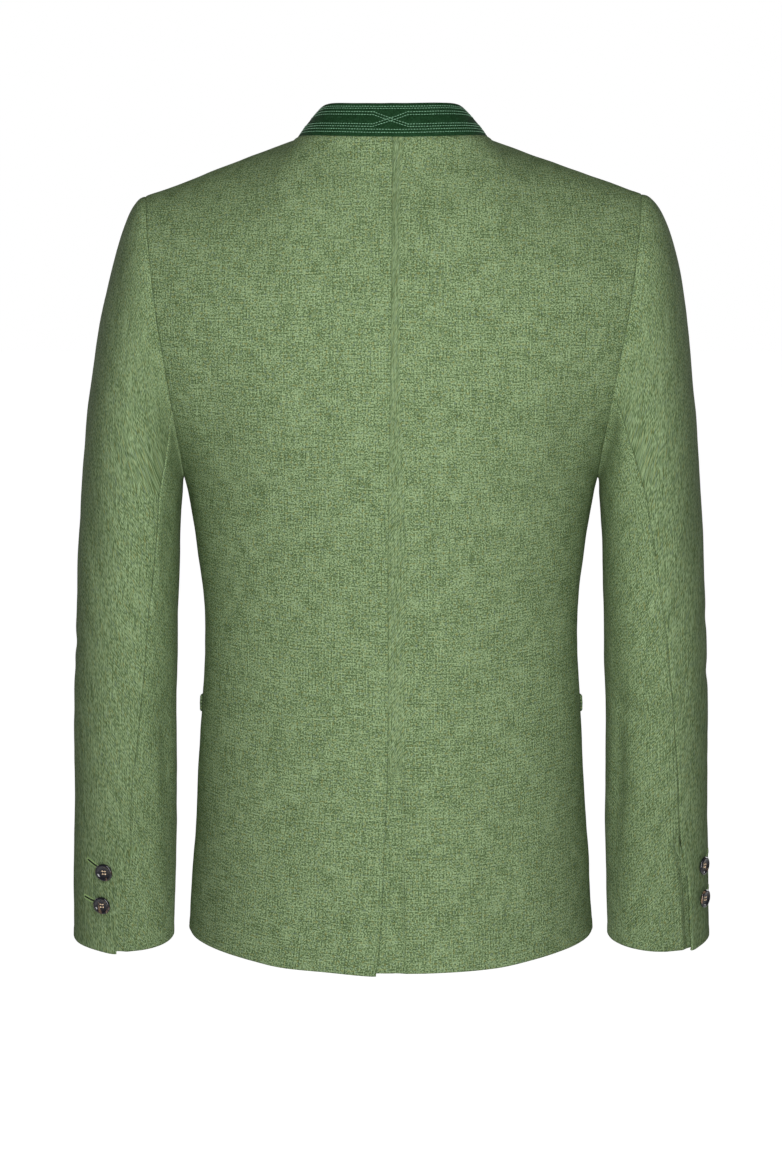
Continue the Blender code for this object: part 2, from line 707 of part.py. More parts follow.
def button_mesh(cutters):
    """Turned disc with a raised rim, drilled through"""
    shape = bmesh.new()
    points = [shape.verts.new((row.radius, 0, row.height)) for row in BUTTON_OUTLINE]
    for first, second in zip(points, points[1:]):
        shape.edges.new((first, second))
    outline = bpy.data.meshes.new("button_outline")
    shape.to_mesh(outline)
    shape.free()
    turned = bpy.data.objects.new("button_turned", outline)
    cutters.objects.link(turned)
    screw = turned.modifiers.new("Turn", "SCREW")
    screw.steps = screw.render_steps = BUTTON_STEPS
    screw.use_merge_vertices = True
    screw.merge_threshold = BUTTON_MERGE

    shape = bmesh.new()
    for hole in range(BUTTON_HOLES):
        angle = radians((hole + 0.5) * 360 / BUTTON_HOLES)
        place = Vector((cos(angle), sin(angle), 0)) * BUTTON_HOLE_PLACE
        bmesh.ops.create_cone(
            shape, cap_ends=True, segments=BUTTON_HOLE_SIDES, radius1=BUTTON_HOLE_RADIUS,
            radius2=BUTTON_HOLE_RADIUS, depth=BUTTON_DRILL_LENGTH, matrix=Matrix.Translation(place))
    drill_mesh = bpy.data.meshes.new("button_drills")
    shape.to_mesh(drill_mesh)
    shape.free()
    drills = bpy.data.objects.new("button_drills", drill_mesh)
    cutters.objects.link(drills)
    cut = turned.modifiers.new("Holes", "BOOLEAN")
    cut.operation = "DIFFERENCE"
    cut.object = drills

    bpy.context.view_layer.update()
    mesh = bpy.data.meshes.new_from_object(turned.evaluated_get(bpy.context.evaluated_depsgraph_get()))
    mesh.name = "button"
    bpy.data.objects.remove(turned)
    bpy.data.objects.remove(drills)
    return mesh


def add_button(collection, name, mesh, point, normal):
    """Button whose back lies just off the cloth, with two of its holes level"""
    piece = placed(collection, name, mesh.copy(), HORN, HORN_ROUGHNESS)
    across = UP.cross(normal).normalized()
    turn = Matrix((across, normal.cross(across), normal)).transposed().to_4x4()
    piece.matrix_world = Matrix.Translation(point + normal * BUTTON_SEAT) @ turn
    return piece


def add_body(jacket):
    cloth_wall(jacket, "back_left", back_left, PANEL_COLUMNS, BACK_ROWS, -1)
    tab_columns = [1 - u for u in PANEL_COLUMNS[::-1]] + spaced(1, 2, 4)[1:]
    cloth_wall(jacket, "back_right", back_right, tab_columns, BACK_ROWS, -1)
    for side, name in ((1, "front_left"), (-1, "front_right")):
        surface = lambda u, v, side=side: front(side, u, v)
        overlap_columns = [-1, -0.5] + PANEL_COLUMNS
        cloth_wall(jacket, name, surface, overlap_columns, FRONT_ROWS, side)


def add_sleeves(jacket):
    for side, name in ((1, "left"), (-1, "right")):
        upper = lambda u, v, side=side: upper_sleeve(side, u, v)
        under = lambda u, v, side=side: under_sleeve(side, u, v)
        cloth_wall(jacket, "sleeve_upper_" + name, upper, UPPER_COLUMNS, SLEEVE_ROWS, side)
        cloth_wall(jacket, "sleeve_under_" + name, under, UNDER_COLUMNS, SLEEVE_ROWS, side)


def add_collar(jacket):
    cloth_wall(jacket, "collar", collar, COLLAR_COLUMNS, spaced(0, 1, 4), -1, COLLAR_CLOTH, COLLAR_GREEN)


def add_pockets(jacket):
    for side, name in ((1, "left"), (-1, "right")):
        surface = lambda u, v, side=side: welt(side, u, v)
        columns, rows = spaced(0, 1, 12), spaced(0, 1, 2)
        cloth_wall(jacket, "pocket_welt_" + name, surface, columns, rows, side, WELT_CLOTH)


def add_buttons(jacket, cutters):
    mesh = button_mesh(cutters)
    for side, name in ((1, "left"), (-1, "right")):
        surface = lambda theta, v, side=side: sleeve(side, theta, v)
        for place, row in enumerate(CUFF_BUTTONS):
            theta = row.left if side > 0 else row.right
            point, normal = framed(surface, theta, drop_of(row.height), side)
            add_button(jacket, f"cuff_button_{name}_{place + 1}", mesh, point, normal)
    for place, height in enumerate(FRONT_BUTTON_HEIGHTS):
        climb = climb_of(height) if height < UNDERARM else climb_above(height)
        point, normal = framed(lambda u, v: front(1, u, v), 0.0, climb, 1)
        add_button(jacket, f"front_button_{place + 1}", mesh, point, normal)


def climb_above(height):
    """Row whose centre-front point lies at a height above the underarm"""
    low, high = 1.0, 3.0
    for _ in range(40):
        middle = (low + high) / 2
        if body(0.0, middle, -1).z < height:
            low = middle
        else:
            high = middle
    return low


def build():
    for item in list(bpy.data.objects):
        bpy.data.objects.remove(item)
    jacket = bpy.data.collections.new("jacket")
    cutters = bpy.data.collections.new("cutters")
    for group in (jacket, cutters):
        bpy.context.scene.collection.children.link(group)
    add_body(jacket)
    add_sleeves(jacket)
    add_collar(jacket)
    add_pockets(jacket)
    add_buttons(jacket, cutters)


build()
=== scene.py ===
"""Looks of a man's folk jacket: its cloth, collar, sewing and horn buttons, in a plain studio.

Metres, +Z up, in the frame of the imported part. The front faces -Y, and the wearer's left side is at +X.
"""

from collections import namedtuple
from functools import lru_cache, partial
from math import cos, copysign, degrees, exp, pi, radians, sin, sqrt

import bmesh
import bpy
from bpy.props import FloatProperty, FloatVectorProperty, PointerProperty
from mathutils import Matrix, Vector, noise


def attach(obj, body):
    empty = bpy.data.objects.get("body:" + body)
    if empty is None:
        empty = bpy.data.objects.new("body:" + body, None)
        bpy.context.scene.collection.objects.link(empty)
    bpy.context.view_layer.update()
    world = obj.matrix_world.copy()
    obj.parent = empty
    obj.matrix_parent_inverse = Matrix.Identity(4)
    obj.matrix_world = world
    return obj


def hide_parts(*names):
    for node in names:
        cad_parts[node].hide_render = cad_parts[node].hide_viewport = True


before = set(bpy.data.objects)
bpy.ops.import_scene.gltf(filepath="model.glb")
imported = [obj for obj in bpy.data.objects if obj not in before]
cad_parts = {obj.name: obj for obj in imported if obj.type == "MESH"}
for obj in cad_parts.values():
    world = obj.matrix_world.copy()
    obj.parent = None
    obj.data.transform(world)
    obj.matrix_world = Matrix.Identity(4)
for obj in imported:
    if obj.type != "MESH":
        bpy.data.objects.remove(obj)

bl_info = {
    "name": "Folk jacket",
    "version": (1, 0, 0),
    "blender": (4, 5, 0),
    "location": "3D View > Sidebar > Jacket",
    "description": "Sews the cloth, collar and buttons of a folk jacket round its packed part",
    "category": "Object",
}

UP = Vector((0, 0, 1))
PROBE = 0.002
SIDES = ((1, "left"), (-1, "right"))

# Levels of the body, and how its level sections are rounded
CHEST_LEVEL = -0.170
UNDERARM = -0.290
HEM_CENTRE = -0.6997
CENTRE_REACH = 0.68
SIDE_REACH = 0.30

# Half width at the side seam, and depth of the back and of the front, at each height
Body = namedtuple("Body", "height side back front")
BODY = [
    Body(-0.170, 0.2440, 0.112, 0.120),
    Body(-0.200, 0.2290, 0.111, 0.124),
    Body(-0.225, 0.2130, 0.110, 0.127),
    Body(-0.250, 0.1960, 0.108, 0.129),
    Body(-0.270, 0.1852, 0.107, 0.130),
    Body(-0.290, 0.1776, 0.105, 0.130),
    Body(-0.315, 0.1728, 0.101, 0.129),
    Body(-0.350, 0.1670, 0.095, 0.126),
    Body(-0.400, 0.1610, 0.089, 0.122),
    Body(-0.450, 0.1618, 0.091, 0.121),
    Body(-0.500, 0.1646, 0.099, 0.122),
    Body(-0.560, 0.1680, 0.109, 0.124),
    Body(-0.630, 0.1724, 0.117, 0.127),
    Body(-0.700, 0.1770, 0.121, 0.130),
]

# Half width at the edge of each armhole, behind and in front
Armhole = namedtuple("Armhole", "height back front")
ARMHOLE = [
    Armhole(-0.170, 0.1958, 0.1880),
    Armhole(-0.200, 0.1907, 0.1825),
    Armhole(-0.225, 0.1870, 0.1792),
    Armhole(-0.250, 0.1830, 0.1775),
    Armhole(-0.275, 0.1795, 0.1772),
    Armhole(-0.290, 0.1776, 0.1776),
]

# Hem from the centre (share 0) to the side seam (share 1)
Hem = namedtuple("Hem", "share height")
HEM = [
    Hem(0.00, HEM_CENTRE),
    Hem(0.15, -0.6996),
    Hem(0.30, -0.6990),
    Hem(0.42, -0.6962),
    Hem(0.57, -0.6931),
    Hem(0.70, -0.6909),
    Hem(0.85, -0.6882),
    Hem(1.00, -0.6845),
]

# Neck and shoulder, as x, depth from the shoulder line, and z
NECK_SIDE = Vector((0.081, 0.000, -0.0010))
SHOULDER_POINT = Vector((0.2120, 0, -0.0492))
NECK_SHARE = 0.36
NECK = {
    1: (Vector((0, 0.062, 0)), Vector((0.052, 0.062, 0)), Vector((0.081, 0.034, 0.005)), NECK_SIDE),
    -1: (Vector((0, 0.078, -0.072)), Vector((0.044, 0.078, -0.072)), Vector((0.081, 0.04, -0.018)),
         NECK_SIDE),
}
# Speed of the neck seam at centre front, in metres for its whole share
NECK_END_SPEED = 6 * NECK[-1][1].x
NECK_ARRIVE = {1: Vector((0, -0.076, 0.117)), -1: Vector((0, -0.045, 0.070))}
COLLAR_CORNER_ARRIVE = Vector((-0.068, -0.120, 0.0249))
SHOULDER_ARRIVE = Vector((0, -0.078, 0))
YOKE_PULL_CENTRE = 1.0
YOKE_PULL_SIDE = 1.35
CREST_REACH = 0.20
CREST_STEPS = 10
CREST_POWER = 12

# Centre-back seam and the edge of the vent below it, measured from the middle
VENT_TOP = -0.527
VENT_UNDERLAP = 0.045
VENT_STEP_DROP = 0.002
VENT_STEP_TOP = VENT_TOP - VENT_STEP_DROP
VENT_STEP_LENGTH = 0.014
VENT_SINK = 0.0026
VENT_SINK_START = -0.014
VENT_SINK_WIDTH = 0.010
VENT_SINK_HEIGHT = 0.014
CentreSeam = namedtuple("CentreSeam", "height offset")
CENTRE_SEAM = [
    CentreSeam(0.000, -0.0016),
    CentreSeam(-0.090, -0.0009),
    CentreSeam(-0.320, 0.0025),
    CentreSeam(-0.530, 0.0030),
    CentreSeam(-0.573, 0.0050),
    CentreSeam(-0.610, 0.0065),
    CentreSeam(-0.650, 0.0080),
    CentreSeam(-0.700, 0.0132),
]

# Edges meet under their seams here, so that no light comes through
SIDE_TRIM = 0.0004
CENTRE_TRIM = -0.0008
TOP_TRIM = -0.0020
COLLAR_FOOT = -0.045

# The sleeve's edge goes under the body's edge at the armhole
ARMHOLE_TUCK = 0.0011

# The free corners of the vents hang a little lower than the hem beside them
CORNER_DROP = 0.0022
CORNER_REACH = 0.10
CORNER_RISE = 0.12

# Front overlap: the wearer's left front lies on the right one
OVERLAP = 0.018
OVERLAP_LIFT = 0.0026
OVERLAP_LIFT_END = 0.022
OVERLAP_LIFT_FADE = 0.024

# Collar: how far its top edge leans in and rises, round half the neck from centre back to centre front
COLLAR_END_GAP = 0.0032
COLLAR_ROUND = 0.012
COLLAR_SWELL = 0.0012
Stand = namedtuple("Stand", "share lean rise")
STAND = [
    Stand(0.00, 0.0180, 0.0273),
    Stand(0.25, 0.0190, 0.0262),
    Stand(0.50, 0.0195, 0.0240),
    Stand(0.75, 0.0150, 0.0285),
    Stand(1.00, 0.0070, 0.0335),
]

# Sleeve: outer, inner, back and front edges of its level sections below the cap
CAP_END = -0.305
SLEEVE_HEM = -0.7034
SLEEVE_HEM_TILT = 0.0062
Sleeve = namedtuple("Sleeve", "height outer inner back front")
SLEEVE = [
    Sleeve(-0.305, 0.2672, 0.1798, 0.0660, -0.0700),
    Sleeve(-0.345, 0.2696, 0.1824, 0.0645, -0.0665),
    Sleeve(-0.380, 0.2712, 0.1835, 0.0615, -0.0645),
    Sleeve(-0.415, 0.2729, 0.1847, 0.0570, -0.0640),
    Sleeve(-0.450, 0.2744, 0.1855, 0.0510, -0.0655),
    Sleeve(-0.485, 0.2760, 0.1869, 0.0440, -0.0690),
    Sleeve(-0.540, 0.2772, 0.1877, 0.0310, -0.0760),
    Sleeve(-0.595, 0.2787, 0.1888, 0.0165, -0.0850),
    Sleeve(-0.650, 0.2812, 0.1908, 0.0030, -0.0950),
    Sleeve(-0.709, 0.2830, 0.1936, -0.0115, -0.1040),
]
CAP_LEAVE_SWING = 0.30
CAP_LEAVE_RISE = 0.10
CAP_LEAVE_FALL = 0.60
CAP_LEAVE_CROWN = 0.088
CAP_LEAVE_UNDERARM = 0.012
CAP_LEAVE_POWER = 0.75
CAP_ARRIVE_CROWN = 0.356
CAP_ARRIVE_UNDERARM = 0.018
CAP_ARRIVE_POWER = 1.1
SEAM_GAP = 0.0003

# Hind seam of each sleeve as an angle round it, 0 behind and 90 outside, from the armhole (drop 0) by the
# end of the cap (1) to the hem (2)
HindSeam = namedtuple("HindSeam", "drop left right")
HIND_SEAM = [
    HindSeam(0.00, -44, -37),
    HindSeam(0.28, -51, -35),
    HindSeam(0.58, -47, -27),
    HindSeam(0.80, -41, -18),
    HindSeam(1.00, -37, -10),
    HindSeam(1.13, -36, -2),
    HindSeam(1.24, -31, 5),
    HindSeam(1.35, -27, 10),
    HindSeam(1.50, -21, 16),
    HindSeam(1.60, -13, 20),
    HindSeam(1.70, -10, 22),
    HindSeam(1.75, -11, 24),
    HindSeam(1.78, -7, 26),
    HindSeam(1.85, -4, 32),
    HindSeam(2.00, 4, 37),
]
FORE_SEAM = 216
SEAM_TRIM = 0.05
SLEEVE_VENT_TOP = -0.610
SLEEVE_VENT_UNDERLAP = 26
SLEEVE_VENT_STEP_DROP = 0.002
SLEEVE_STEP_TOP = SLEEVE_VENT_TOP - SLEEVE_VENT_STEP_DROP
SLEEVE_VENT_STEP_LENGTH = 0.012
SLEEVE_VENT_SINK = 0.0026
SLEEVE_VENT_SINK_START = 13
SLEEVE_VENT_SINK_WIDTH = 9
SLEEVE_VENT_SINK_HEIGHT = 0.012

# How the jacket sits: its right shoulder is a little higher and wider
SETTLE_END = -0.260
SETTLE_FADE = 0.200
SETTLE_TILT = 0.0060
SETTLE_TILT_START = 0.090
SETTLE_TILT_FADE = 0.100
SETTLE_BODY = 0.0020
SETTLE_BODY_START = 0.030
SETTLE_BODY_FADE = 0.090
SETTLE_SLEEVE = 0.0023
SETTLE_SLEEVE_START = 0.205
SETTLE_SLEEVE_FADE = 0.030

# Soft troughs and ridges of the cloth, placed by the middle, half length and half width of each
FOLD_FADE_START = 0.75
FOLD_FADE = 0.20
Fold = namedtuple("Fold", "across height length width turn depth")
BACK_FOLDS = [
    Fold(-0.007, -0.556, 0.030, 0.007, 86, -0.0046),
    Fold(-0.006, -0.640, 0.050, 0.007, 88, -0.0040),
    Fold(0.001, -0.240, 0.050, 0.007, 90, -0.0014),
    Fold(-0.024, -0.590, 0.060, 0.012, 80, -0.0012),
    Fold(0.051, -0.553, 0.055, 0.020, 88, 0.0016),
    Fold(-0.043, -0.560, 0.070, 0.022, 92, 0.0017),
    Fold(0.008, -0.490, 0.035, 0.012, 90, -0.0010),
    Fold(0.148, -0.232, 0.060, 0.012, 78, -0.0018),
    Fold(-0.150, -0.238, 0.060, 0.012, 102, -0.0018),
    Fold(0.020, -0.060, 0.050, 0.030, 70, 0.0012),
    Fold(0.105, -0.330, 0.070, 0.014, -35, -0.0016),
    Fold(-0.110, -0.345, 0.075, 0.014, 38, -0.0018),
    Fold(0.075, -0.640, 0.090, 0.022, 86, -0.0018),
    Fold(-0.095, -0.650, 0.080, 0.022, 94, -0.0016),
]
FRONT_FOLDS = [
    Fold(0.090, -0.300, 0.080, 0.016, 60, -0.0020),
    Fold(-0.085, -0.310, 0.075, 0.016, -58, -0.0018),
    Fold(0.085, -0.640, 0.080, 0.022, 88, -0.0018),
    Fold(-0.100, -0.630, 0.090, 0.022, 92, -0.0018),
]
SLEEVE_FOLDS = {
    1: [
        Fold(0.115, -0.425, 0.045, 0.009, 12, -0.0030),
        Fold(0.120, -0.460, 0.040, 0.008, -8, -0.0026),
        Fold(-0.030, -0.505, 0.035, 0.010, 35, -0.0016),
        Fold(0.030, -0.350, 0.060, 0.014, 70, -0.0014),
        Fold(-0.026, -0.330, 0.055, 0.014, 82, 0.0022),
        Fold(-0.050, -0.530, 0.065, 0.010, 88, -0.0022),
        Fold(0.010, -0.430, 0.030, 0.012, 20, -0.0010),
    ],
    -1: [
        Fold(0.118, -0.420, 0.048, 0.009, -10, -0.0030),
        Fold(0.112, -0.455, 0.040, 0.008, 6, -0.0026),
        Fold(-0.028, -0.495, 0.040, 0.010, -38, -0.0020),
        Fold(0.034, -0.360, 0.060, 0.014, 74, -0.0014),
        Fold(-0.030, -0.255, 0.045, 0.013, 78, 0.0020),
        Fold(-0.048, -0.550, 0.075, 0.011, 88, -0.0044),
        Fold(0.006, -0.500, 0.040, 0.014, -28, -0.0012),
    ],
}
SLEEVE_RADIUS = 0.050
CUFF_RADIUS = 0.046

# Long and short waves in which the cloth lies uneven, and the share of the short ones
LONG_WAVES = 21
SHORT_WAVES = 62
SHORT_WAVES_START = Vector((5, 3, 1))
SHORT_WAVES_SHARE = 0.32

# Ridge over the pressed allowance beside a seam, as shares of the allowance
RIDGE_FALL_START = 0.7
RIDGE_FALL = 0.6
RIDGE_REACH = 3

# Grid of the cloth: rows beside an edge, and the usual step between rows elsewhere
EDGE_ROWS = (0, 0.0004, 0.0009, 0.0015, 0.0023, 0.0034, 0.0050, 0.0070)
FINE = len(EDGE_ROWS)
CLOTH_STEP = 0.0034
SKIRT_LENGTH = 0.41
CHEST_LENGTH = 0.13

# Buttons: a turned disc with a raised rim and four holes, from its face to its back
Turning = namedtuple("Turning", "radius height")
BUTTON_OUTLINE = [
    Turning(0.0000, 0.0022),
    Turning(0.0030, 0.0022),
    Turning(0.0046, 0.0023),
    Turning(0.0053, 0.0027),
    Turning(0.0058, 0.0031),
    Turning(0.0064, 0.0034),
    Turning(0.0070, 0.0034),
    Turning(0.0076, 0.0030),
    Turning(0.0080, 0.0023),
    Turning(0.0080, 0.0016),
    Turning(0.0077, 0.0010),
    Turning(0.0068, 0.0004),
    Turning(0.0058, 0.0000),
    Turning(0.0000, 0.0000),
]
BUTTON_HOLE_PLACE = 0.0018
BUTTON_SEAT = 0.0006
CuffButton = namedtuple("CuffButton", "height left right")
CUFF_BUTTONS = [CuffButton(-0.635, 18, 56), CuffButton(-0.666, 20, 57)]
FRONT_BUTTON_HEIGHTS = (-0.098, -0.198, -0.298, -0.398, -0.498)

# Hip pocket welts on the fronts
WELT_TOP = -0.4800
WELT_BOTTOM = -0.4945
WELT_NEAR_SIDE = 0.985
WELT_NEAR_CENTRE = 0.34
WELT_GAPE = 0.0004

# Rows of stitching on the collar, as shares of its height. The rows of the middle pairs swap places
# behind, between two places round the neck
OUTER_ROWS = (0.915, 0.850, 0.200, 0.105)
CROSSING_ROWS = ((0.745, 0.365), (0.655, 0.285), (0.365, 0.745), (0.285, 0.655))
CROSSING_SIDE = 0.052
CROSSING_MIDDLE = 0.0014
QUILTED_WIDTH = 0.022
ROW_END = 0.982

# Whipped foot of the collar
WHIP_HEIGHT = 0.045
WHIP_END = 0.975
WHIP_PITCH = 0.62
WHIP_RISE = 0.00125
WHIP_LEAN = 0.0006

# Stitches of the seams, as shares of the seam's roll and of the thread
SEAM_REACH = 0.85
SEAM_DEPTH = 0.62
SEAM_LEAN = 0.35
SEAM_THREAD = 0.8

# Buttonholes: thread worked over the slit's edge, and a dark piece in the slit that paints its shade
HOLE_PITCH = 0.00080
HOLE_INNER = 0.00065
HOLE_OUTER = 0.0024
HOLE_THREAD = 0.95
SLIT_PARTS = 4
SLIT_PAST = 0.2
SLIT_RADIUS = 0.00075
CUFF_HOLE_TILTS = (24, 12)

# Stitches are made this many at a time, because Blender slows down as one mesh grows
STITCH_BATCH = 24

# Pattern of the wool: how fine each part is, and how much it adds
SLUB_STRETCH = 0.07
REPEAT_SCALE = 0.145
CLOUD_SCALE = 30.0
PATCH_SCALE = 85.0
TINT_SCALE = 0.55
SLUB_SHARE = 0.20
REPEAT_SHARE = 0.06
CLOUD_SHARE = 0.09
PATCH_SHARE = 0.14
PATTERN_MIDDLE = 0.830

# Studio: soft lights on the middle of the jacket, and the camera behind it
LIGHT_AIM = Vector((0, 0, -0.22))
Lamp = namedtuple("Lamp", "name place width height power")
LAMPS = [
    Lamp("key", (-0.03, 1.12, -0.08), 0.35, 1.9, "key"),
    Lamp("front_left", (1.7, -2.1, 0.3), 1.4, 1.4, "front"),
    Lamp("front_right", (-1.7, -2.1, 0.3), 1.4, 1.4, "front"),
]
CAMERA_PLACE = (0, 3.0, -0.05)
CAMERA_AIM = Vector((0, 0, -0.386))
FOCAL_LENGTH = 106.9
SENSOR_WIDTH = 36
FLOOR_RADIUS = 30


# Numbers and curves

def mix(start, end, share):
    return start + (end - start) * share


def smooth(share):
    share = min(max(share, 0.0), 1.0)
    return share * share * (3 - 2 * share)


def ramp(value, start, length):
    return smooth((value - start) / length)


def bezier(start, leave, arrive, end, t):
    s = 1 - t
    return start * s**3 + leave * (3 * s * s * t) + arrive * (3 * s * t * t) + end * t**3


def hermite(start, leave, end, arrive, t):
    return bezier(start, start + leave / 3, end - arrive / 3, end, t)


def read(table, key):
    """Row of a table at any value of its first column, on smooth curves through its rows"""
    rising = table[-1][0] > table[0][0]
    rows = table if rising else table[::-1]
    key = min(max(key, rows[0][0]), rows[-1][0])
    place = 0
    while place < len(rows) - 2 and key > rows[place + 1][0]:
        place += 1
    before = rows[max(place - 1, 0)]
    low, high = rows[place], rows[place + 1]
    after = rows[min(place + 2, len(rows) - 1)]
    span = high[0] - low[0]
    share = (key - low[0]) / span
    values = [key]
    for column in range(1, len(low)):
        leave = (high[column] - before[column]) / (high[0] - before[0]) * span
        arrive = (after[column] - low[column]) / (after[0] - low[0]) * span
        values.append(hermite(low[column], leave, high[column], arrive, share))
    return type(low)(*values)


def spaced(start, end, count):
    return [mix(start, end, i / count) for i in range(count + 1)]


def halved(low, high, steps, is_below):
    """Last place between low and high for which is_below holds"""
    for _ in range(steps):
        middle = (low + high) / 2
        if is_below(middle):
            low = middle
        else:
            high = middle
    return low


def on_side(row, side):
    return row.left if side > 0 else row.right


# The form of the jacket

def settle(point):
    """Lift and shift of the shoulders, which fades out below the armholes"""
    fade = ramp(point.z, SETTLE_END, SETTLE_FADE)
    far = abs(point.x)
    shift = SETTLE_BODY * ramp(far, SETTLE_BODY_START, SETTLE_BODY_FADE)
    shift += SETTLE_SLEEVE * ramp(far, SETTLE_SLEEVE_START, SETTLE_SLEEVE_FADE)
    tilt = SETTLE_TILT * point.x * ramp(far, SETTLE_TILT_START, SETTLE_TILT_FADE)
    return point + Vector((-shift * fade, 0, -tilt * fade))


def fold_depth(folds, across, height):
    total = 0.0
    for fold in folds:
        dx, dz = across - fold.across, height - fold.height
        turn = radians(fold.turn)
        along = dx * cos(turn) + dz * sin(turn)
        beside = dz * cos(turn) - dx * sin(turn)
        total += fold.depth * exp(-(along / fold.length)**2 - (beside / fold.width)**2)
    return total


@lru_cache(maxsize=None)
def armhole_cut(height, face):
    """Share of the section's curve that lies inside the armhole's edge"""
    if height <= UNDERARM:
        return 1.0
    hole = read(ARMHOLE, height)
    target = (hole.back if face > 0 else hole.front) / read(BODY, height).side
    return halved(0.0, 1.0, 30, lambda share: bezier(0, CENTRE_REACH, 1, 1, share) < target)


def level(t, height, face):
    """Point of the level section, from the centre (t = 0) to the side seam or armhole (t = 1)"""
    row = read(BODY, height)
    depth = row.back if face > 0 else row.front
    share = t * armhole_cut(height, face)
    across = row.side * bezier(0, CENTRE_REACH, 1, 1, share)
    return Vector((across, depth * bezier(1, 1, SIDE_REACH, 0, share), height))


def crest(t, face):
    """Point on the neck seam or the shoulder seam, and the way the yoke arrives there"""
    if t <= NECK_SHARE:
        q = t / NECK_SHARE
        return bezier(*NECK[face], q), NECK_ARRIVE[face].lerp(COLLAR_CORNER_ARRIVE, smooth(q))
    q = (t - NECK_SHARE) / (1 - NECK_SHARE)
    return mix(NECK_SIDE, SHOULDER_POINT, q), COLLAR_CORNER_ARRIVE.lerp(SHOULDER_ARRIVE, q)


@lru_cache(maxsize=None)
def rounded_crest(t, face):
    """The crest with the neck's side corner rounded off"""
    total = Vector()
    for place in spaced(t - CREST_REACH, t + CREST_REACH, CREST_STEPS):
        point = crest(abs(place), face)[0]
        total += Vector((copysign(point.x, place), point.y, point.z))
    return total / (CREST_STEPS + 1)


def yoke(t, rise, face):
    """The yoke follows the rounded crest, and bends to the true one only near the seam"""
    foot = level(t, CHEST_LEVEL, face)
    lean = (foot - level(t, CHEST_LEVEL - PROBE, face)) / PROBE
    seam, arrive = crest(t, face)
    top = rounded_crest(t, face)
    pull = mix(YOKE_PULL_CENTRE, YOKE_PULL_SIDE, smooth(t / NECK_SHARE)) * (top.z - foot.z)
    near_seam = rise**CREST_POWER * (1 + CREST_POWER * (1 - rise))
    return hermite(foot, lean * pull, top, arrive, rise) + (seam - top) * near_seam


def hem_height(t):
    return read(HEM, t).height


def height_at(climb, t=0.0):
    """Height of a row of the body: climb is 0 at the hem, 1 underarm, 2 at the chest, 3 at the top"""
    if climb <= 1:
        return mix(hem_height(t), UNDERARM, climb)
    if climb <= 2:
        return mix(UNDERARM, CHEST_LEVEL, climb - 1)
    return mix(CHEST_LEVEL, 0, climb - 2)


def body(w, climb, face):
    """Outer face of the body, with w from -1 at its right side to 1 at its left, face 1 behind"""
    t = abs(w)
    if climb <= 2:
        point = level(t, height_at(climb, t), face)
    else:
        point = yoke(t, climb - 2, face)
    across = copysign(point.x, w)
    folds = BACK_FOLDS if face > 0 else FRONT_FOLDS
    point.y += fold_depth(folds, across, point.z) * (1 - ramp(t, FOLD_FADE_START, FOLD_FADE))
    return Vector((across, point.y * face, point.z))


def w_at(x, climb):
    """Where a short distance from the middle lies on the row"""
    return x / (3 * CENTRE_REACH * read(BODY, height_at(climb)).side)


def climb_of(height):
    return (height - HEM_CENTRE) / (UNDERARM - HEM_CENTRE)


def spread(u, start):
    """Place across a panel that begins at start, with the neck's corner always at NECK_SHARE"""
    if u < NECK_SHARE:
        return mix(start, NECK_SHARE, u / NECK_SHARE)
    return mix(NECK_SHARE, 1 - SIDE_TRIM, (u - NECK_SHARE) / (1 - NECK_SHARE))


def back_left(u, v):
    """From the centre seam or the vent's edge, whose lower corner hangs down"""
    start = w_at(read(CENTRE_SEAM, height_at(v)).offset, v) + CENTRE_TRIM
    fade = exp(-(u / CORNER_REACH)**2) * (1 - ramp(v, 0, CORNER_RISE))
    drop = CORNER_DROP / (UNDERARM - HEM_CENTRE) * fade
    return settle(body(spread(u, start), v - drop, 1))


def vent_edge(height):
    """Edge of the right back: on the seam, and below the vent's top under the left back"""
    seam = read(CENTRE_SEAM, height).offset
    return mix(seam, VENT_UNDERLAP, ramp(-height, -VENT_STEP_TOP, VENT_STEP_LENGTH))


def back_right(u, v):
    """From the side seam (u = 0) to near the centre (u = 1), and on to the seam or vent edge (u = 2)"""
    height = height_at(v)
    near = w_at(VENT_SINK_START, v)
    edge = w_at(vent_edge(height), v) - CENTRE_TRIM
    w = -spread(1 - u, -near) if u <= 1 else mix(near, edge, u - 1)
    point = body(w, v, 1)
    sink = ramp(point.x, VENT_SINK_START, VENT_SINK_WIDTH)
    sink *= ramp(-height, -VENT_TOP - VENT_SINK_HEIGHT, VENT_SINK_HEIGHT)
    point.y -= VENT_SINK * sink
    return settle(point)


def framed(surface, u, v, outward):
    """Point of a surface and its unit normal on the outward side"""
    along_u = surface(u + PROBE, v) - surface(u - PROBE, v)
    along_v = surface(u, v + PROBE) - surface(u, v - PROBE)
    return surface(u, v), along_u.cross(along_v).normalized() * outward


def front(side, u, v):
    """From the edge past the centre (u = -1) by the centre (u = 0) to the side seam (u = 1)"""
    w = spread(u, 0) if u > 0 else u * w_at(OVERLAP, v)
    point = body(w * side, v, -1)
    lift = OVERLAP_LIFT * (1 - ramp(point.x, OVERLAP_LIFT_END, OVERLAP_LIFT_FADE))
    if side > 0 and lift > 0:
        point, normal = framed(lambda a, b: body(a, b, -1), w, v, 1)
        point += normal * lift
    return settle(point)


def armhole(side, theta):
    """Point of the armhole's edge: theta is 0 behind, 90 at the shoulder, 180 in front, 270 below"""
    if theta <= 90:
        face, angle = 1, theta
    else:
        face, angle = -1, 180 - theta
    climb = 2 + angle / 90
    return body(side, climb, face)


@lru_cache(maxsize=None)
def sleeve_row(height):
    return read(SLEEVE, height)


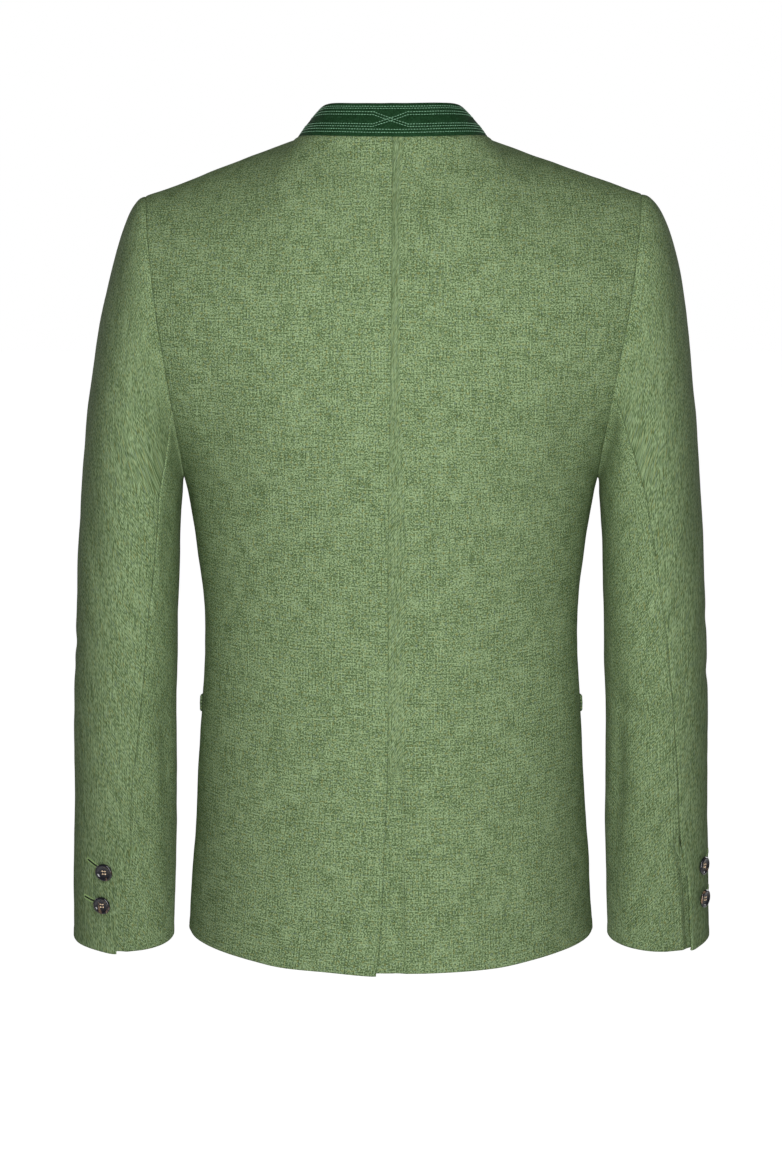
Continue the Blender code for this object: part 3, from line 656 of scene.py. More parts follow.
def sleeve_section(theta, height):
    row = sleeve_row(round(height, 5))
    angle = radians(theta)
    x = mix(row.inner, row.outer, (1 + sin(angle)) / 2)
    y = mix(row.front, row.back, (1 + cos(angle)) / 2)
    return Vector((x, y, height))


def sleeve_hem(theta):
    return SLEEVE_HEM - SLEEVE_HEM_TILT * cos(radians(theta))


def cap(side, theta, drop):
    angle = radians(theta)
    upper = (1 + sin(angle)) / 2
    start = armhole(side, theta)
    start.x = abs(start.x)
    lift = CAP_LEAVE_RISE * upper - CAP_LEAVE_FALL * (1 - upper)**2
    leave = Vector((1, CAP_LEAVE_SWING * cos(angle), lift))
    start -= leave.normalized() * ARMHOLE_TUCK
    leave *= mix(CAP_LEAVE_UNDERARM, CAP_LEAVE_CROWN, upper**CAP_LEAVE_POWER)
    end = sleeve_section(theta, CAP_END)
    lean = (sleeve_section(theta, CAP_END - PROBE) - end) / PROBE
    arrive = lean * mix(CAP_ARRIVE_UNDERARM, CAP_ARRIVE_CROWN, upper**CAP_ARRIVE_POWER)
    return hermite(start, leave, end, arrive, drop)


def sleeve(side, theta, drop, sink=0.0):
    """Outer face of a sleeve: drop is 0 at the armhole, 1 at the end of the cap and 2 at the hem"""
    if drop <= 1:
        point = cap(side, theta, drop)
    else:
        point = sleeve_section(theta, mix(CAP_END, sleeve_hem(theta), drop - 1))
    across = SLEEVE_RADIUS * radians(theta)
    depth = fold_depth(SLEEVE_FOLDS[side], across, point.z) - sink
    if depth:
        angle = radians(theta)
        point += Vector((sin(angle), cos(angle), 0)) * depth
    point.x *= side
    return settle(point)


def drop_of(height):
    return 1 + (height - CAP_END) / (SLEEVE_HEM - SLEEVE_HEM_TILT - CAP_END)


def hind_seam(side, drop):
    return on_side(read(HIND_SEAM, drop), side)


def upper_sleeve(side, u, v):
    """Outer half, from the hind seam (u = 0) round the outside to the fore seam (u = 1)"""
    fade = exp(-(u / CORNER_REACH)**2) * ramp(v, 2 - CORNER_RISE, CORNER_RISE)
    drop = CORNER_DROP / (CAP_END - SLEEVE_HEM) * fade
    return sleeve(side, mix(hind_seam(side, v) + SEAM_TRIM, FORE_SEAM - SEAM_TRIM, u), v + drop)


def under_sleeve(side, u, v):
    """Inner half, from the fore seam (u = 0) to near the hind seam (u = 1) and to its edge (u = 2)"""
    height = mix(CAP_END, SLEEVE_HEM - SLEEVE_HEM_TILT, v - 1)
    seam = hind_seam(side, v)
    near = seam - SLEEVE_VENT_SINK_START
    underlap = SLEEVE_VENT_UNDERLAP * ramp(-height, -SLEEVE_STEP_TOP, SLEEVE_VENT_STEP_LENGTH)
    edge = seam - SEAM_TRIM + underlap
    theta = mix(FORE_SEAM + SEAM_TRIM - 360, near, u) if u <= 1 else mix(near, edge, u - 1)
    sink = SLEEVE_VENT_SINK * ramp(theta, near, SLEEVE_VENT_SINK_WIDTH)
    sink *= ramp(-height, -SLEEVE_VENT_TOP - SLEEVE_VENT_SINK_HEIGHT, SLEEVE_VENT_SINK_HEIGHT)
    return sleeve(side, theta % 360 if theta < -90 else theta, v, sink)


def neck_curve(share):
    """Point of the neck seam, share 0 at centre back, 0.5 at the shoulder and 1 at centre front"""
    face, q = (1, share * 2) if share <= 0.5 else (-1, 2 - share * 2)
    point = bezier(*NECK[face], q)
    return Vector((point.x, point.y * face, point.z))


def collar(w, h):
    """Outer face of the collar: w is 0 at centre back and 1 at its left end, h 0 at the seam, 1 on top"""
    share = abs(w)
    base = neck_curve(share)
    ahead = neck_curve(min(share + PROBE, 1)) - neck_curve(max(share - PROBE, 0))
    inward = ahead.cross(UP)
    inward.z = 0
    inward.normalize()
    stand = read(STAND, share)
    to_end = (1 - share) * NECK_END_SPEED - COLLAR_END_GAP
    rise = stand.rise
    if to_end < COLLAR_ROUND:
        rise -= COLLAR_ROUND - sqrt(max(COLLAR_ROUND**2 - (COLLAR_ROUND - to_end)**2, 0))
    swell = COLLAR_SWELL * 4 * h * (1 - h)
    height = rise * h
    point = base + inward * (stand.lean * height / stand.rise - swell) + UP * (height + SEAM_GAP)
    point.x = max(point.x, 0) * copysign(1, w)
    return settle(point)


def welt(side, u, v):
    t = mix(WELT_NEAR_CENTRE, WELT_NEAR_SIDE, u)
    rise = mix(WELT_BOTTOM, WELT_TOP, v)
    climb = (rise - hem_height(t)) / (UNDERARM - hem_height(t))
    point, normal = framed(lambda a, b: body(a * side, b, -1), t, climb, side)
    return settle(point + normal * (SEAM_GAP + sizes().welt_cloth + WELT_GAPE * v))


def front_row(height):
    """Row of the body whose centre-front point lies at a height"""
    if height < UNDERARM:
        return climb_of(height)
    return halved(1.0, 3.0, 40, lambda climb: body(0.0, climb, -1).z < height)


# Settings that a user would change

def length(name, description, default):
    return FloatProperty(name=name, description=description, default=default, unit="LENGTH")


class JacketSizes(bpy.types.PropertyGroup):
    cloth: length("Cloth", "Thickness of the jacket cloth", 0.0018)
    collar_cloth: length("Collar cloth", "Thickness of the collar", 0.0026)
    welt_cloth: length("Welt cloth", "Thickness of the pocket welts", 0.0014)
    seam_roll: length("Seam roll", "How far cloth rolls in at a seam", 0.00045)
    edge_roll: length("Edge roll", "How far cloth rolls in at a hem or vent", 0.0005)
    roll_reach: length("Roll reach", "Width of the roll beside a seam", 0.0014)
    allowance: length("Seam allowance", "Width of the ridge of pressed cloth under a seam", 0.0085)
    ridge: length("Seam ridge", "Height of the ridge beside a seam", 0.00030)
    wave: length("Unevenness", "How far the cloth lies from a fair surface", 0.0008)
    quilting: length("Quilting", "Depth of the stitched rows in the collar", 0.0005)
    seam_stitch: length("Seam stitch", "Spacing of the stitches in the seams", 0.0030)
    collar_stitch: length("Collar stitch", "Spacing of the stitches on the collar", 0.0024)
    thread: length("Thread", "Radius of the sewing thread", 0.00030)
    buttonhole: length("Buttonhole", "Length of a buttonhole", 0.0205)


def colour(name, description, default):
    return FloatVectorProperty(
        name=name, description=description, default=default, size=4, min=0, max=1, subtype="COLOR")


class JacketColours(bpy.types.PropertyGroup):
    cloth: colour("Cloth", "Main colour of the wool", (0.158, 0.232, 0.106, 1))
    cloth_light: colour("Light yarn", "Light flecks in the wool", (0.300, 0.405, 0.215, 1))
    cloth_dark: colour("Dark yarn", "Dark flecks in the wool", (0.062, 0.100, 0.038, 1))
    cloth_warm: colour("Warm yarn", "Yellow flecks in the wool", (0.235, 0.235, 0.070, 1))
    cloth_cool: colour("Cool yarn", "Blue-grey flecks in the wool", (0.150, 0.210, 0.160, 1))
    # Painted shade: the wool takes this darker colour where its surface turns away from the view, along the
    # outlines
    cloth_painted_edge_shade: colour("Painted edge shade", "Shade of the wool where it turns away", (0.045, 0.075, 0.026, 1))
    collar: colour("Collar", "Main colour of the collar", (0.0100, 0.045, 0.014, 1))
    collar_light: colour("Collar nap", "Light side of the collar's nap", (0.022, 0.070, 0.032, 1))
    collar_dark: colour("Collar depth", "Dark side of the collar's nap", (0.003, 0.014, 0.005, 1))
    collar_thread: colour("Collar thread", "Thread of the rows on the collar", (0.170, 0.350, 0.215, 1))
    seam_thread: colour("Seam thread", "Thread in the seams", (0.085, 0.130, 0.055, 1))
    buttonhole_thread: colour("Buttonhole thread", "Thread round the buttonholes", (0.330, 0.480, 0.200, 1))
    # Real thread and painted highlight: the cream colour also stands for the bright glints at the buttons'
    # holes
    button_thread: colour("Button thread and highlight", "Thread in the buttons", (0.800, 0.620, 0.420, 1))
    # Painted shade: colour of the dark pieces laid in each buttonhole's slit
    slit: colour("Slit", "Shade inside a buttonhole", (0.006, 0.008, 0.005, 1))
    horn: colour("Horn", "Main colour of the horn", (0.007, 0.007, 0.012, 1))
    horn_streak: colour("Horn streak", "Pale streaks in the horn", (0.300, 0.190, 0.110, 1))
    floor: colour("Floor", "Colour of the floor", (0.920, 0.920, 0.920, 1))


class JacketStudio(bpy.types.PropertyGroup):
    key: FloatProperty(name="Key", description="Power of the main light", default=16.6, unit="POWER")
    front: FloatProperty(
        name="Front", description="Power of each light on the fronts", default=22, unit="POWER")
    air: FloatProperty(name="Air", description="Strength of the light from all round", default=0.12)
    floor_height: length("Floor height", "Height of the floor under a standing wearer", -1.50)


def sizes():
    return bpy.context.scene.jacket_sizes


def colours():
    return bpy.context.scene.jacket_colours


# Materials

def wired(tree, kind, values=None, **settings):
    """Node with its settings, and with a value or a link on each input that is named or numbered"""
    node = tree.nodes.new(kind)
    for name, value in settings.items():
        setattr(node, name, value)
    for name, value in (values or {}).items():
        if isinstance(value, bpy.types.NodeSocket):
            tree.links.new(value, node.inputs[name])
        else:
            node.inputs[name].default_value = value
    return node


def group_of(name, place, shades, numbers):
    """Node group that gives each place a colour and a height, and the sockets inside it"""
    group = bpy.data.node_groups.new(name, "ShaderNodeTree")
    for label, kind in ((place, "NodeSocketVector"), *((shade, "NodeSocketColor") for shade in shades)):
        group.interface.new_socket(name=label, in_out="INPUT", socket_type=kind)
    for label, value in numbers.items():
        socket = group.interface.new_socket(name=label, in_out="INPUT", socket_type="NodeSocketFloat")
        socket.default_value = value
    for label, kind in (("Color", "NodeSocketColor"), ("Height", "NodeSocketFloat")):
        group.interface.new_socket(name=label, in_out="OUTPUT", socket_type=kind)
    return group, group.nodes.new("NodeGroupInput").outputs, group.nodes.new("NodeGroupOutput").inputs


def math(tree, operation, first, second=0.0, third=0.0):
    return wired(tree, "ShaderNodeMath", {0: first, 1: second, 2: third}, operation=operation).outputs[0]


def noise_at(tree, vector, scale, detail=2.0, stretch=None):
    """Noise from 0 to 1 round 0.5, drawn out along an axis where stretch says so"""
    if stretch:
        vector = wired(tree, "ShaderNodeMapping", {"Vector": vector, "Scale": stretch}).outputs[0]
    values = {"Vector": vector, "Scale": scale, "Detail": detail}
    return wired(tree, "ShaderNodeTexNoise", values).outputs[0]


def share_of(tree, value, start, end, top=1.0):
    """How far a value lies between start and end, from 0 to top"""
    values = {"Value": value, "From Min": start, "From Max": end, "To Min": 0.0, "To Max": top}
    return wired(tree, "ShaderNodeMapRange", values).outputs[0]


def blended(tree, factor, first, second):
    values = {"Factor": factor, 6: first, 7: second}
    return wired(tree, "ShaderNodeMix", values, data_type="RGBA").outputs[2]


def in_units(tree, vector, size):
    """A place counted in steps of a size"""
    per_unit = math(tree, "DIVIDE", 1.0, size)
    return wired(tree, "ShaderNodeVectorMath", {0: vector, "Scale": per_unit}, operation="SCALE").outputs[0]


def make_heather():
    """Woven wool of mixed yarns: flecks, slubs both ways, a small repeat and clouds"""
    shades = ("Base", "Light", "Dark", "Warm", "Cool")
    group, given, result = group_of("heather wool", "Surface", shades, {"Yarn": 0.0012, "Contrast": 1.0})
    surface = given["Surface"]
    yarns = in_units(group, surface, given["Yarn"])
    warp = noise_at(group, yarns, 1.0, 0.0, (1.0, SLUB_STRETCH, 1.0))
    weft = noise_at(group, yarns, 1.0, 0.0, (SLUB_STRETCH, 1.0, 1.0))
    wave = {"Vector": yarns, "Scale": REPEAT_SCALE, "Distortion": 1.2, "Detail": 1.0}
    across, along = (wired(group, "ShaderNodeTexWave", wave, bands_direction=way).outputs[1] for way in "XY")
    parts = (
        (math(group, "ADD", warp, weft), SLUB_SHARE),
        (math(group, "MULTIPLY", across, along), REPEAT_SHARE),
        (noise_at(group, surface, CLOUD_SCALE, 1.0), CLOUD_SHARE),
        (noise_at(group, surface, PATCH_SCALE, 1.0), PATCH_SHARE),
    )
    pattern = noise_at(group, yarns, 1.0, 1.0)
    for part, share in parts:
        pattern = math(group, "MULTIPLY_ADD", part, share, pattern)
    centred = math(group, "SUBTRACT", pattern, PATTERN_MIDDLE)
    contrasted = math(group, "MULTIPLY", centred, given["Contrast"])
    tints = noise_at(group, yarns, TINT_SCALE, 0.0)
    layers = (
        ("Dark", contrasted, 0.0, -0.30, 1.0),
        ("Light", contrasted, 0.0, 0.30, 1.0),
        ("Warm", tints, 0.60, 0.80, 0.55),
        ("Cool", tints, 0.40, 0.20, 0.55),
    )
    shade = given["Base"]
    for label, value, start, end, top in layers:
        shade = blended(group, share_of(group, value, start, end, top), shade, given[label])
    group.links.new(shade, result["Color"])
    group.links.new(centred, result["Height"])
    return group


def make_fleece():
    """Short dense nap, as on loden: soft patches of light and dark hair"""
    group, given, result = group_of("short nap", "Surface", ("Base", "Light", "Dark"), {"Hair": 0.0009})
    hairs = in_units(group, given["Surface"], given["Hair"])
    short = noise_at(group, hairs, 1.0, 2.0, (1.0, 0.45, 1.0))
    patches = noise_at(group, hairs, 0.11, 2.0)
    value = math(group, "MULTIPLY_ADD", patches, 0.35, short)
    shade = blended(group, share_of(group, value, 0.675, 0.40), given["Base"], given["Dark"])
    shade = blended(group, share_of(group, value, 0.675, 0.95), shade, given["Light"])
    group.links.new(shade, result["Color"])
    group.links.new(value, result["Height"])
    return group


@lru_cache(maxsize=None)
def make_strand():
    """Twisted thread: fine light and dark turns"""
    group, given, result = group_of("twisted thread", "Place", ("Base",), {"Turns": 1500.0})
    turns = noise_at(group, given["Place"], given["Turns"], 1.0)
    shade = blended(group, share_of(group, turns, 0.30, 0.70), (0.55, 0.55, 0.55, 1), (1.45, 1.45, 1.45, 1))
    product = wired(group, "ShaderNodeMix", {"Factor": 1.0, 6: given["Base"], 7: shade}, data_type="RGBA",
                    blend_type="MULTIPLY").outputs[2]
    group.links.new(product, result["Color"])
    group.links.new(turns, result["Height"])
    return group


def finish_material(name, roughness, gloss=0.5):
    material = bpy.data.materials.new(name)
    material.use_nodes = True
    shader = material.node_tree.nodes["Principled BSDF"]
    shader.inputs["Roughness"].default_value = roughness
    shader.inputs["Specular IOR Level"].default_value = gloss
    return material, material.node_tree, shader


def patterned(tree, shader, group, bump, values):
    """Places a node group, whose height raises the surface, and gives its colour"""
    node = wired(tree, "ShaderNodeGroup", values, node_tree=group)
    raised = {"Height": node.outputs["Height"], "Distance": bump, "Strength": 1.0}
    tree.links.new(wired(tree, "ShaderNodeBump", raised).outputs[0], shader.inputs["Normal"])
    return node.outputs["Color"]


def cloth_surface(tree):
    return wired(tree, "ShaderNodeUVMap", uv_map="cloth").outputs[0]


def object_place(tree):
    return wired(tree, "ShaderNodeTexCoord").outputs["Object"]


def wool_material():
    shades = colours()
    material, tree, shader = finish_material("jacket wool", 0.90, 0.12)
    weave = patterned(tree, shader, make_heather(), 0.0004, {
        "Surface": cloth_surface(tree), "Base": shades.cloth, "Light": shades.cloth_light,
        "Dark": shades.cloth_dark, "Warm": shades.cloth_warm, "Cool": shades.cloth_cool,
        "Yarn": 0.00125, "Contrast": 2.0})
    # Painted shade: the woven colour is blended towards the darker edge colour where the cloth faces away
    # from the view
    facing = wired(tree, "ShaderNodeLayerWeight", {"Blend": 0.5}).outputs["Facing"]
    turned = share_of(tree, facing, 0.30, 1.0, 0.50)
    tree.links.new(blended(tree, turned, weave, shades.cloth_painted_edge_shade), shader.inputs["Base Color"])
    return material


def collar_material():
    shades = colours()
    material, tree, shader = finish_material("collar loden", 0.85, 0.12)
    nap = patterned(tree, shader, make_fleece(), 0.0003, {
        "Surface": cloth_surface(tree), "Base": shades.collar, "Light": shades.collar_light,
        "Dark": shades.collar_dark})
    tree.links.new(nap, shader.inputs["Base Color"])
    return material


def thread_material(name, shade):
    material, tree, shader = finish_material(name, 0.6, 0.25)
    strand = patterned(tree, shader, make_strand(), 0.0001, {"Place": object_place(tree), "Base": shade})
    tree.links.new(strand, shader.inputs["Base Color"])
    return material


def horn_material():
    shades = colours()
    material, tree, shader = finish_material("dark horn", 0.25)
    place = object_place(tree)
    veins = noise_at(tree, place, 210.0, 3.0, (1.0, 1.0, 0.35))
    fine = noise_at(tree, place, 900.0, 2.0)
    mask = share_of(tree, math(tree, "MULTIPLY_ADD", fine, 0.15, veins), 0.66, 0.78)
    tree.links.new(blended(tree, mask, shades.horn, shades.horn_streak), shader.inputs["Base Color"])
    tree.links.new(share_of(tree, fine, 0.2, 1.3, 0.55), shader.inputs["Roughness"])
    shader.inputs["Coat Weight"].default_value = 0.6
    shader.inputs["Coat Roughness"].default_value = 0.12
    return material


def floor_material():
    material, tree, shader = finish_material("pale floor", 0.8)
    place = object_place(tree)
    worn = share_of(tree, noise_at(tree, place, 1.5, 2.0), 0.3, 0.7)
    pale = colours().floor
    tone = blended(tree, worn, pale, [channel * 0.99 for channel in pale[:3]] + [1])
    tree.links.new(tone, shader.inputs["Base Color"])
    seen = wired(tree, "ShaderNodeLightPath").outputs["Is Camera Ray"]
    tree.links.new(blended(tree, seen, (0.1, 0.1, 0.1, 1), (1, 1, 1, 1)), shader.inputs["Emission Color"])
    shader.inputs["Emission Strength"].default_value = 0.90
    return material


@lru_cache(maxsize=None)
def material_named(name):
    """Each material is made once, when its first piece asks for it"""
    shades = colours()
    threads = {
        "seam thread": shades.seam_thread,
        "collar thread": shades.collar_thread,
        "buttonhole thread": shades.buttonhole_thread,
        "button thread": shades.button_thread,
        "buttonhole slit": shades.slit,
    }
    if name in threads:
        return thread_material(name, threads[name])
    makers = {
        "jacket wool": wool_material,
        "collar loden": collar_material,
        "dark horn": horn_material,
        "pale floor": floor_material,
    }
    return makers[name]()


# Making the pieces

def unevenness(point):
    """How far the cloth lies above or below a fair surface, in long and short waves"""
    long_wave = noise.noise(point * LONG_WAVES)
    short_wave = noise.noise(point * SHORT_WAVES + SHORT_WAVES_START)
    return sizes().wave * (long_wave + SHORT_WAVES_SHARE * short_wave)


def mesh_of(shape, name):
    """Turns a bmesh into a mesh and frees it"""
    mesh = bpy.data.meshes.new(name)
    shape.to_mesh(mesh)
    shape.free()
    return mesh


def linked(name, data):
    item = bpy.data.objects.new(name, data)
    bpy.context.scene.collection.objects.link(item)
    return item


def evaluated_mesh(item):
    """Mesh that an object's curve or modifiers make"""
    bpy.context.view_layer.update()
    return bpy.data.meshes.new_from_object(item.evaluated_get(bpy.context.evaluated_depsgraph_get()))


def finished(name, mesh, material, nodes=()):
    """Adds a piece to the jacket: it rides on the body and stands for its nodes"""
    mesh.name = name
    piece = linked(name, mesh)
    mesh.materials.clear()
    mesh.materials.append(material_named(material))
    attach(piece, "root")
    if nodes:
        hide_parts(*nodes)
    return piece


def graded(start, end, length, step, fine=True):
    """Places from start to end that lie a step apart over a length, and closer together at both ends"""
    near = list(EDGE_ROWS) if fine else [0]
    inner = length - 2 * near[-1]
    count = max(round(inner / step), 1)
    places = near + [near[-1] + inner * i / count for i in range(1, count)] + [length - d for d in near[::-1]]
    return [mix(start, end, place / length) for place in places]


def in_order(*runs):
    """Places of several runs as one, each of them once"""
    return sorted({place for run in runs for place in run})


def body_rows(step, yoke_length, yoke_step):
    """Rows of the body, closer together at the hem and at the top"""
    skirt = graded(0, 1, SKIRT_LENGTH, step)[:-FINE]
    chest = graded(1, 2, CHEST_LENGTH, step, False)[:-1]
    return in_order(skirt, chest, graded(2, 3 - TOP_TRIM, yoke_length, yoke_step)[FINE:])


def lengths_along(line):
    total = [0.0]
    for first, second in zip(line, line[1:]):
        total.append(total[-1] + (second - first).length)
    return total


def rolled(distance, roll):
    """Height of the cloth beside a seam: it rolls in at the seam, and rises over the pressed allowance"""
    given = sizes()
    if distance > RIDGE_REACH * given.allowance:
        return 0.0
    near = ramp(distance, 0, given.roll_reach)
    far = ramp(distance, given.allowance * RIDGE_FALL_START, given.allowance * RIDGE_FALL)
    return given.ridge * near * (1 - far) * roll / given.seam_roll - roll * (1 - near)


def cloth_piece(name, surface, us, vs, outward, wall, joins, grain=0.0, material="jacket wool", extra=None):
    """Piece of cloth: a grid laid row by row on surface(u, v), rolled in at its edges and made thick.

    joins names the edges at the first and last u and the first and last v: "seam", "edge" or "". The
    cloth's grain follows the column at u = grain.
    """
    given = sizes()
    points = [[surface(u, v) for v in vs] for u in us]
    up = [lengths_along(column) for column in points]
    across = list(zip(*[lengths_along(row) for row in zip(*points)]))
    roll_of = {"seam": given.seam_roll, "edge": given.edge_roll, "": 0.0}
    rolls = [roll_of[join] for join in joins]
    straight = min(range(len(us)), key=lambda i: abs(us[i] - grain))
    shape = bmesh.new()
    bmesh.ops.create_grid(shape, x_segments=len(us) - 1, y_segments=len(vs) - 1, size=1)
    if outward < 0:
        bmesh.ops.reverse_faces(shape, faces=shape.faces[:])
    half = max(vert.co.x for vert in shape.verts)
    place = {}
    for vert in shape.verts:
        i = round((vert.co.x / half + 1) / 2 * (len(us) - 1))
        j = round((vert.co.y / half + 1) / 2 * (len(vs) - 1))
        place[vert] = (i, j)
        vert.co = points[i][j]
    shape.normal_update()
    normals = {vert: vert.normal.copy() for vert in shape.verts}
    layer = shape.loops.layers.uv.new("cloth")
    for vert, (i, j) in place.items():
        gaps = (across[i][j], across[-1][j] - across[i][j], up[i][j], up[i][-1] - up[i][j])
        shift = unevenness(vert.co) + sum(rolled(gap, roll) for gap, roll in zip(gaps, rolls) if roll)
        if extra:
            shift += extra(us[i], vs[j])
        for loop in vert.link_loops:
            loop[layer].uv = (across[i][j] - across[straight][j], up[i][j])
        vert.co += normals[vert] * shift
    mesh = mesh_of(shape, name)
    mesh.shade_smooth()
    piece = finished(name + "_cloth", mesh, material, [name])
    thick = piece.modifiers.new("Wall", "SOLIDIFY")
    thick.thickness = wall
    thick.offset = -1
    area = sum(face.area for face in mesh.polygons)
    flat = (max(across[-1]), max(column[-1] for column in up))
    return piece


def spindle(shape, start, end, normal, radius, segments=6, rings=4):
    """One stitch: a thread that dips into the cloth at both ends"""
    ahead = end - start
    axis = ahead.normalized()
    side = normal.cross(axis).normalized()
    turn = Matrix((side, axis.cross(side), axis)).transposed().to_4x4()
    scale = Matrix.Diagonal((radius, radius, ahead.length / 2, 1))
    place = Matrix.Translation((start + end) / 2) @ turn @ scale
    bmesh.ops.create_uvsphere(shape, u_segments=segments, v_segments=rings, radius=1, matrix=place)


def sewn(name, stitches, material):
    """One piece of many stitches, each as (start, end, normal, radius)"""
    whole = bmesh.new()
    mesh = bpy.data.meshes.new(name)
    for first in range(0, len(stitches), STITCH_BATCH):
        shape = bmesh.new()
        for start, end, normal, radius in stitches[first:first + STITCH_BATCH]:
            spindle(shape, start, end, normal, radius)
        shape.to_mesh(mesh)
        shape.free()
        whole.from_mesh(mesh)
    whole.to_mesh(mesh)
    whole.free()
    mesh.shade_smooth()
    return finished(name, mesh, material)


def traced(place, start, end, pitch, steps=120):
    """Points a pitch apart along place(t), each with its direction and normal"""
    stops = spaced(start, end, steps)
    found = [place(t) for t in stops]
    run = lengths_along([point for point, normal in found])
    count = max(int(run[-1] / pitch), 1)
    rows, index = [], 0
    for step in range(count + 1):
        goal = run[-1] * step / count
        while index < steps - 1 and run[index + 1] < goal:
            index += 1
        share = (goal - run[index]) / max(run[index + 1] - run[index], 1e-9)
        (low, low_normal), (high, high_normal) = found[index], found[index + 1]
        normal = low_normal.lerp(high_normal, share).normalized()
        rows.append((low.lerp(high, share), (high - low).normalized(), normal))
    return rows


def lying(surface, u, v, outward):
    """Point of the uneven cloth and its normal"""
    point, normal = framed(surface, u, v, outward)
    return point + normal * unevenness(point), normal


def seam_stitches(places):
    """Stitches that bridge a seam at the foot of its groove"""
    given = sizes()
    reach = given.seam_roll * SEAM_REACH
    made = []
    for point, ahead, normal in places:
        aside = ahead.cross(normal).normalized() * reach
        foot = point - normal * given.seam_roll * SEAM_DEPTH
        lean = ahead * reach * SEAM_LEAN
        made.append((foot - aside - lean, foot + aside + lean, normal, given.thread * SEAM_THREAD))
    return made


def settled(face, w, climb):
    return settle(body(w, climb, face))


def between(w, climb):
    """Middle between the edges of the back and the front, where a seam joins them"""
    behind, normal_behind = lying(partial(settled, 1), w, climb, -1)
    ahead, normal_ahead = lying(partial(settled, -1), w, climb, 1)
    return (behind + ahead) / 2, (normal_behind + normal_ahead).normalized()


def on_sleeve(side, theta, drop):
    return lying(partial(sleeve, side), theta, drop, side)


def back_seam_places():
    def place(v):
        return lying(partial(settled, 1), w_at(read(CENTRE_SEAM, height_at(v)).offset, v), v, -1)
    return traced(place, climb_of(VENT_TOP), 3 - TOP_TRIM * 4, sizes().seam_stitch)


def side_seam_places(side):
    return traced(lambda v: between(side * (1 - PROBE * 2), v), 0.004, 0.995, sizes().seam_stitch)


def shoulder_places(side):
    def place(t):
        return between(side * t, 3 - TOP_TRIM * 1.5)
    return traced(place, NECK_SHARE + 0.02, 0.985, sizes().seam_stitch, 60)


def armhole_places(side):
    return traced(lambda theta: on_sleeve(side, theta, PROBE * 1.5), -88, 268, sizes().seam_stitch, 180)


def hind_seam_places(side):
    def place(v):
        return on_sleeve(side, hind_seam(side, v), v)
    return traced(place, 0.01, drop_of(SLEEVE_VENT_TOP), sizes().seam_stitch)


def fore_seam_places(side):
    return traced(lambda v: on_sleeve(side, FORE_SEAM, v), 0.01, 1.99, sizes().seam_stitch)


# Collar

def row_height(row, w):
    """Height of one stitched row of the collar at a place round the neck"""
    if isinstance(row, float):
        return row
    left, right = row
    share = (w - CROSSING_MIDDLE) / (2 * CROSSING_SIDE) + 0.5
    return mix(right, left, min(max(share, 0), 1))


def quilting(w, h):
    """The rows of stitching pull the collar in"""
    depth = 0.0
    for row in OUTER_ROWS + CROSSING_ROWS:
        away = (h - row_height(row, w)) / QUILTED_WIDTH
        depth = max(depth, exp(-away * away))
    return -sizes().quilting * depth


def collar_stitches():
    given = sizes()
    made = []
    for row in OUTER_ROWS + CROSSING_ROWS:
        def place(w):
            point, normal = framed(collar, w, row_height(row, w), -1)
            lift = unevenness(point) + given.thread * 1.1 - given.quilting * 0.6
            return point + normal * lift, normal
        for point, ahead, normal in traced(place, -ROW_END, ROW_END, given.collar_stitch, 600):
            half = ahead * given.collar_stitch * 0.44
            made.append((point - half, point + half, normal, given.thread * 1.35))
    return made


def whip_stitches():
    """Slanting stitches over the foot of the collar, one after the other in a zigzag"""
    given = sizes()
    def place(w):
        return lying(collar, w, WHIP_HEIGHT, -1)
    made = []
    places = traced(place, -WHIP_END, WHIP_END, given.collar_stitch * WHIP_PITCH, 400)
    for count, (point, ahead, normal) in enumerate(places):
        rise = normal.cross(ahead).normalized()
        if rise.z < 0:
            rise = -rise
        lean = 1 if count % 2 else -1
        reach = rise * WHIP_RISE + ahead * WHIP_LEAN * lean
        made.append((point - reach, point + reach, normal, given.thread))
    return made


def tube(name, points, radius, material):
    """Round cord through points, closed at both ends"""
    curve = bpy.data.curves.new(name, "CURVE")
    curve.dimensions = "3D"
    curve.bevel_depth = radius
    curve.bevel_resolution = 3
    curve.use_fill_caps = True
    line = curve.splines.new("POLY")
    line.points.add(len(points) - 1)
    for spot, point in zip(line.points, points):
        spot.co = (*point, 1)
    drawn = linked(name + "_line", curve)
    mesh = evaluated_mesh(drawn)
    bpy.data.objects.remove(drawn)
    mesh.shade_smooth()
    layer = mesh.uv_layers.new(name="cloth")
    for loop, spot in zip(mesh.loops, layer.data):
        place = mesh.vertices[loop.vertex_index].co
        spot.uv = (place.x + place.y, place.z)
    return finished(name, mesh, material)


# Buttons and buttonholes

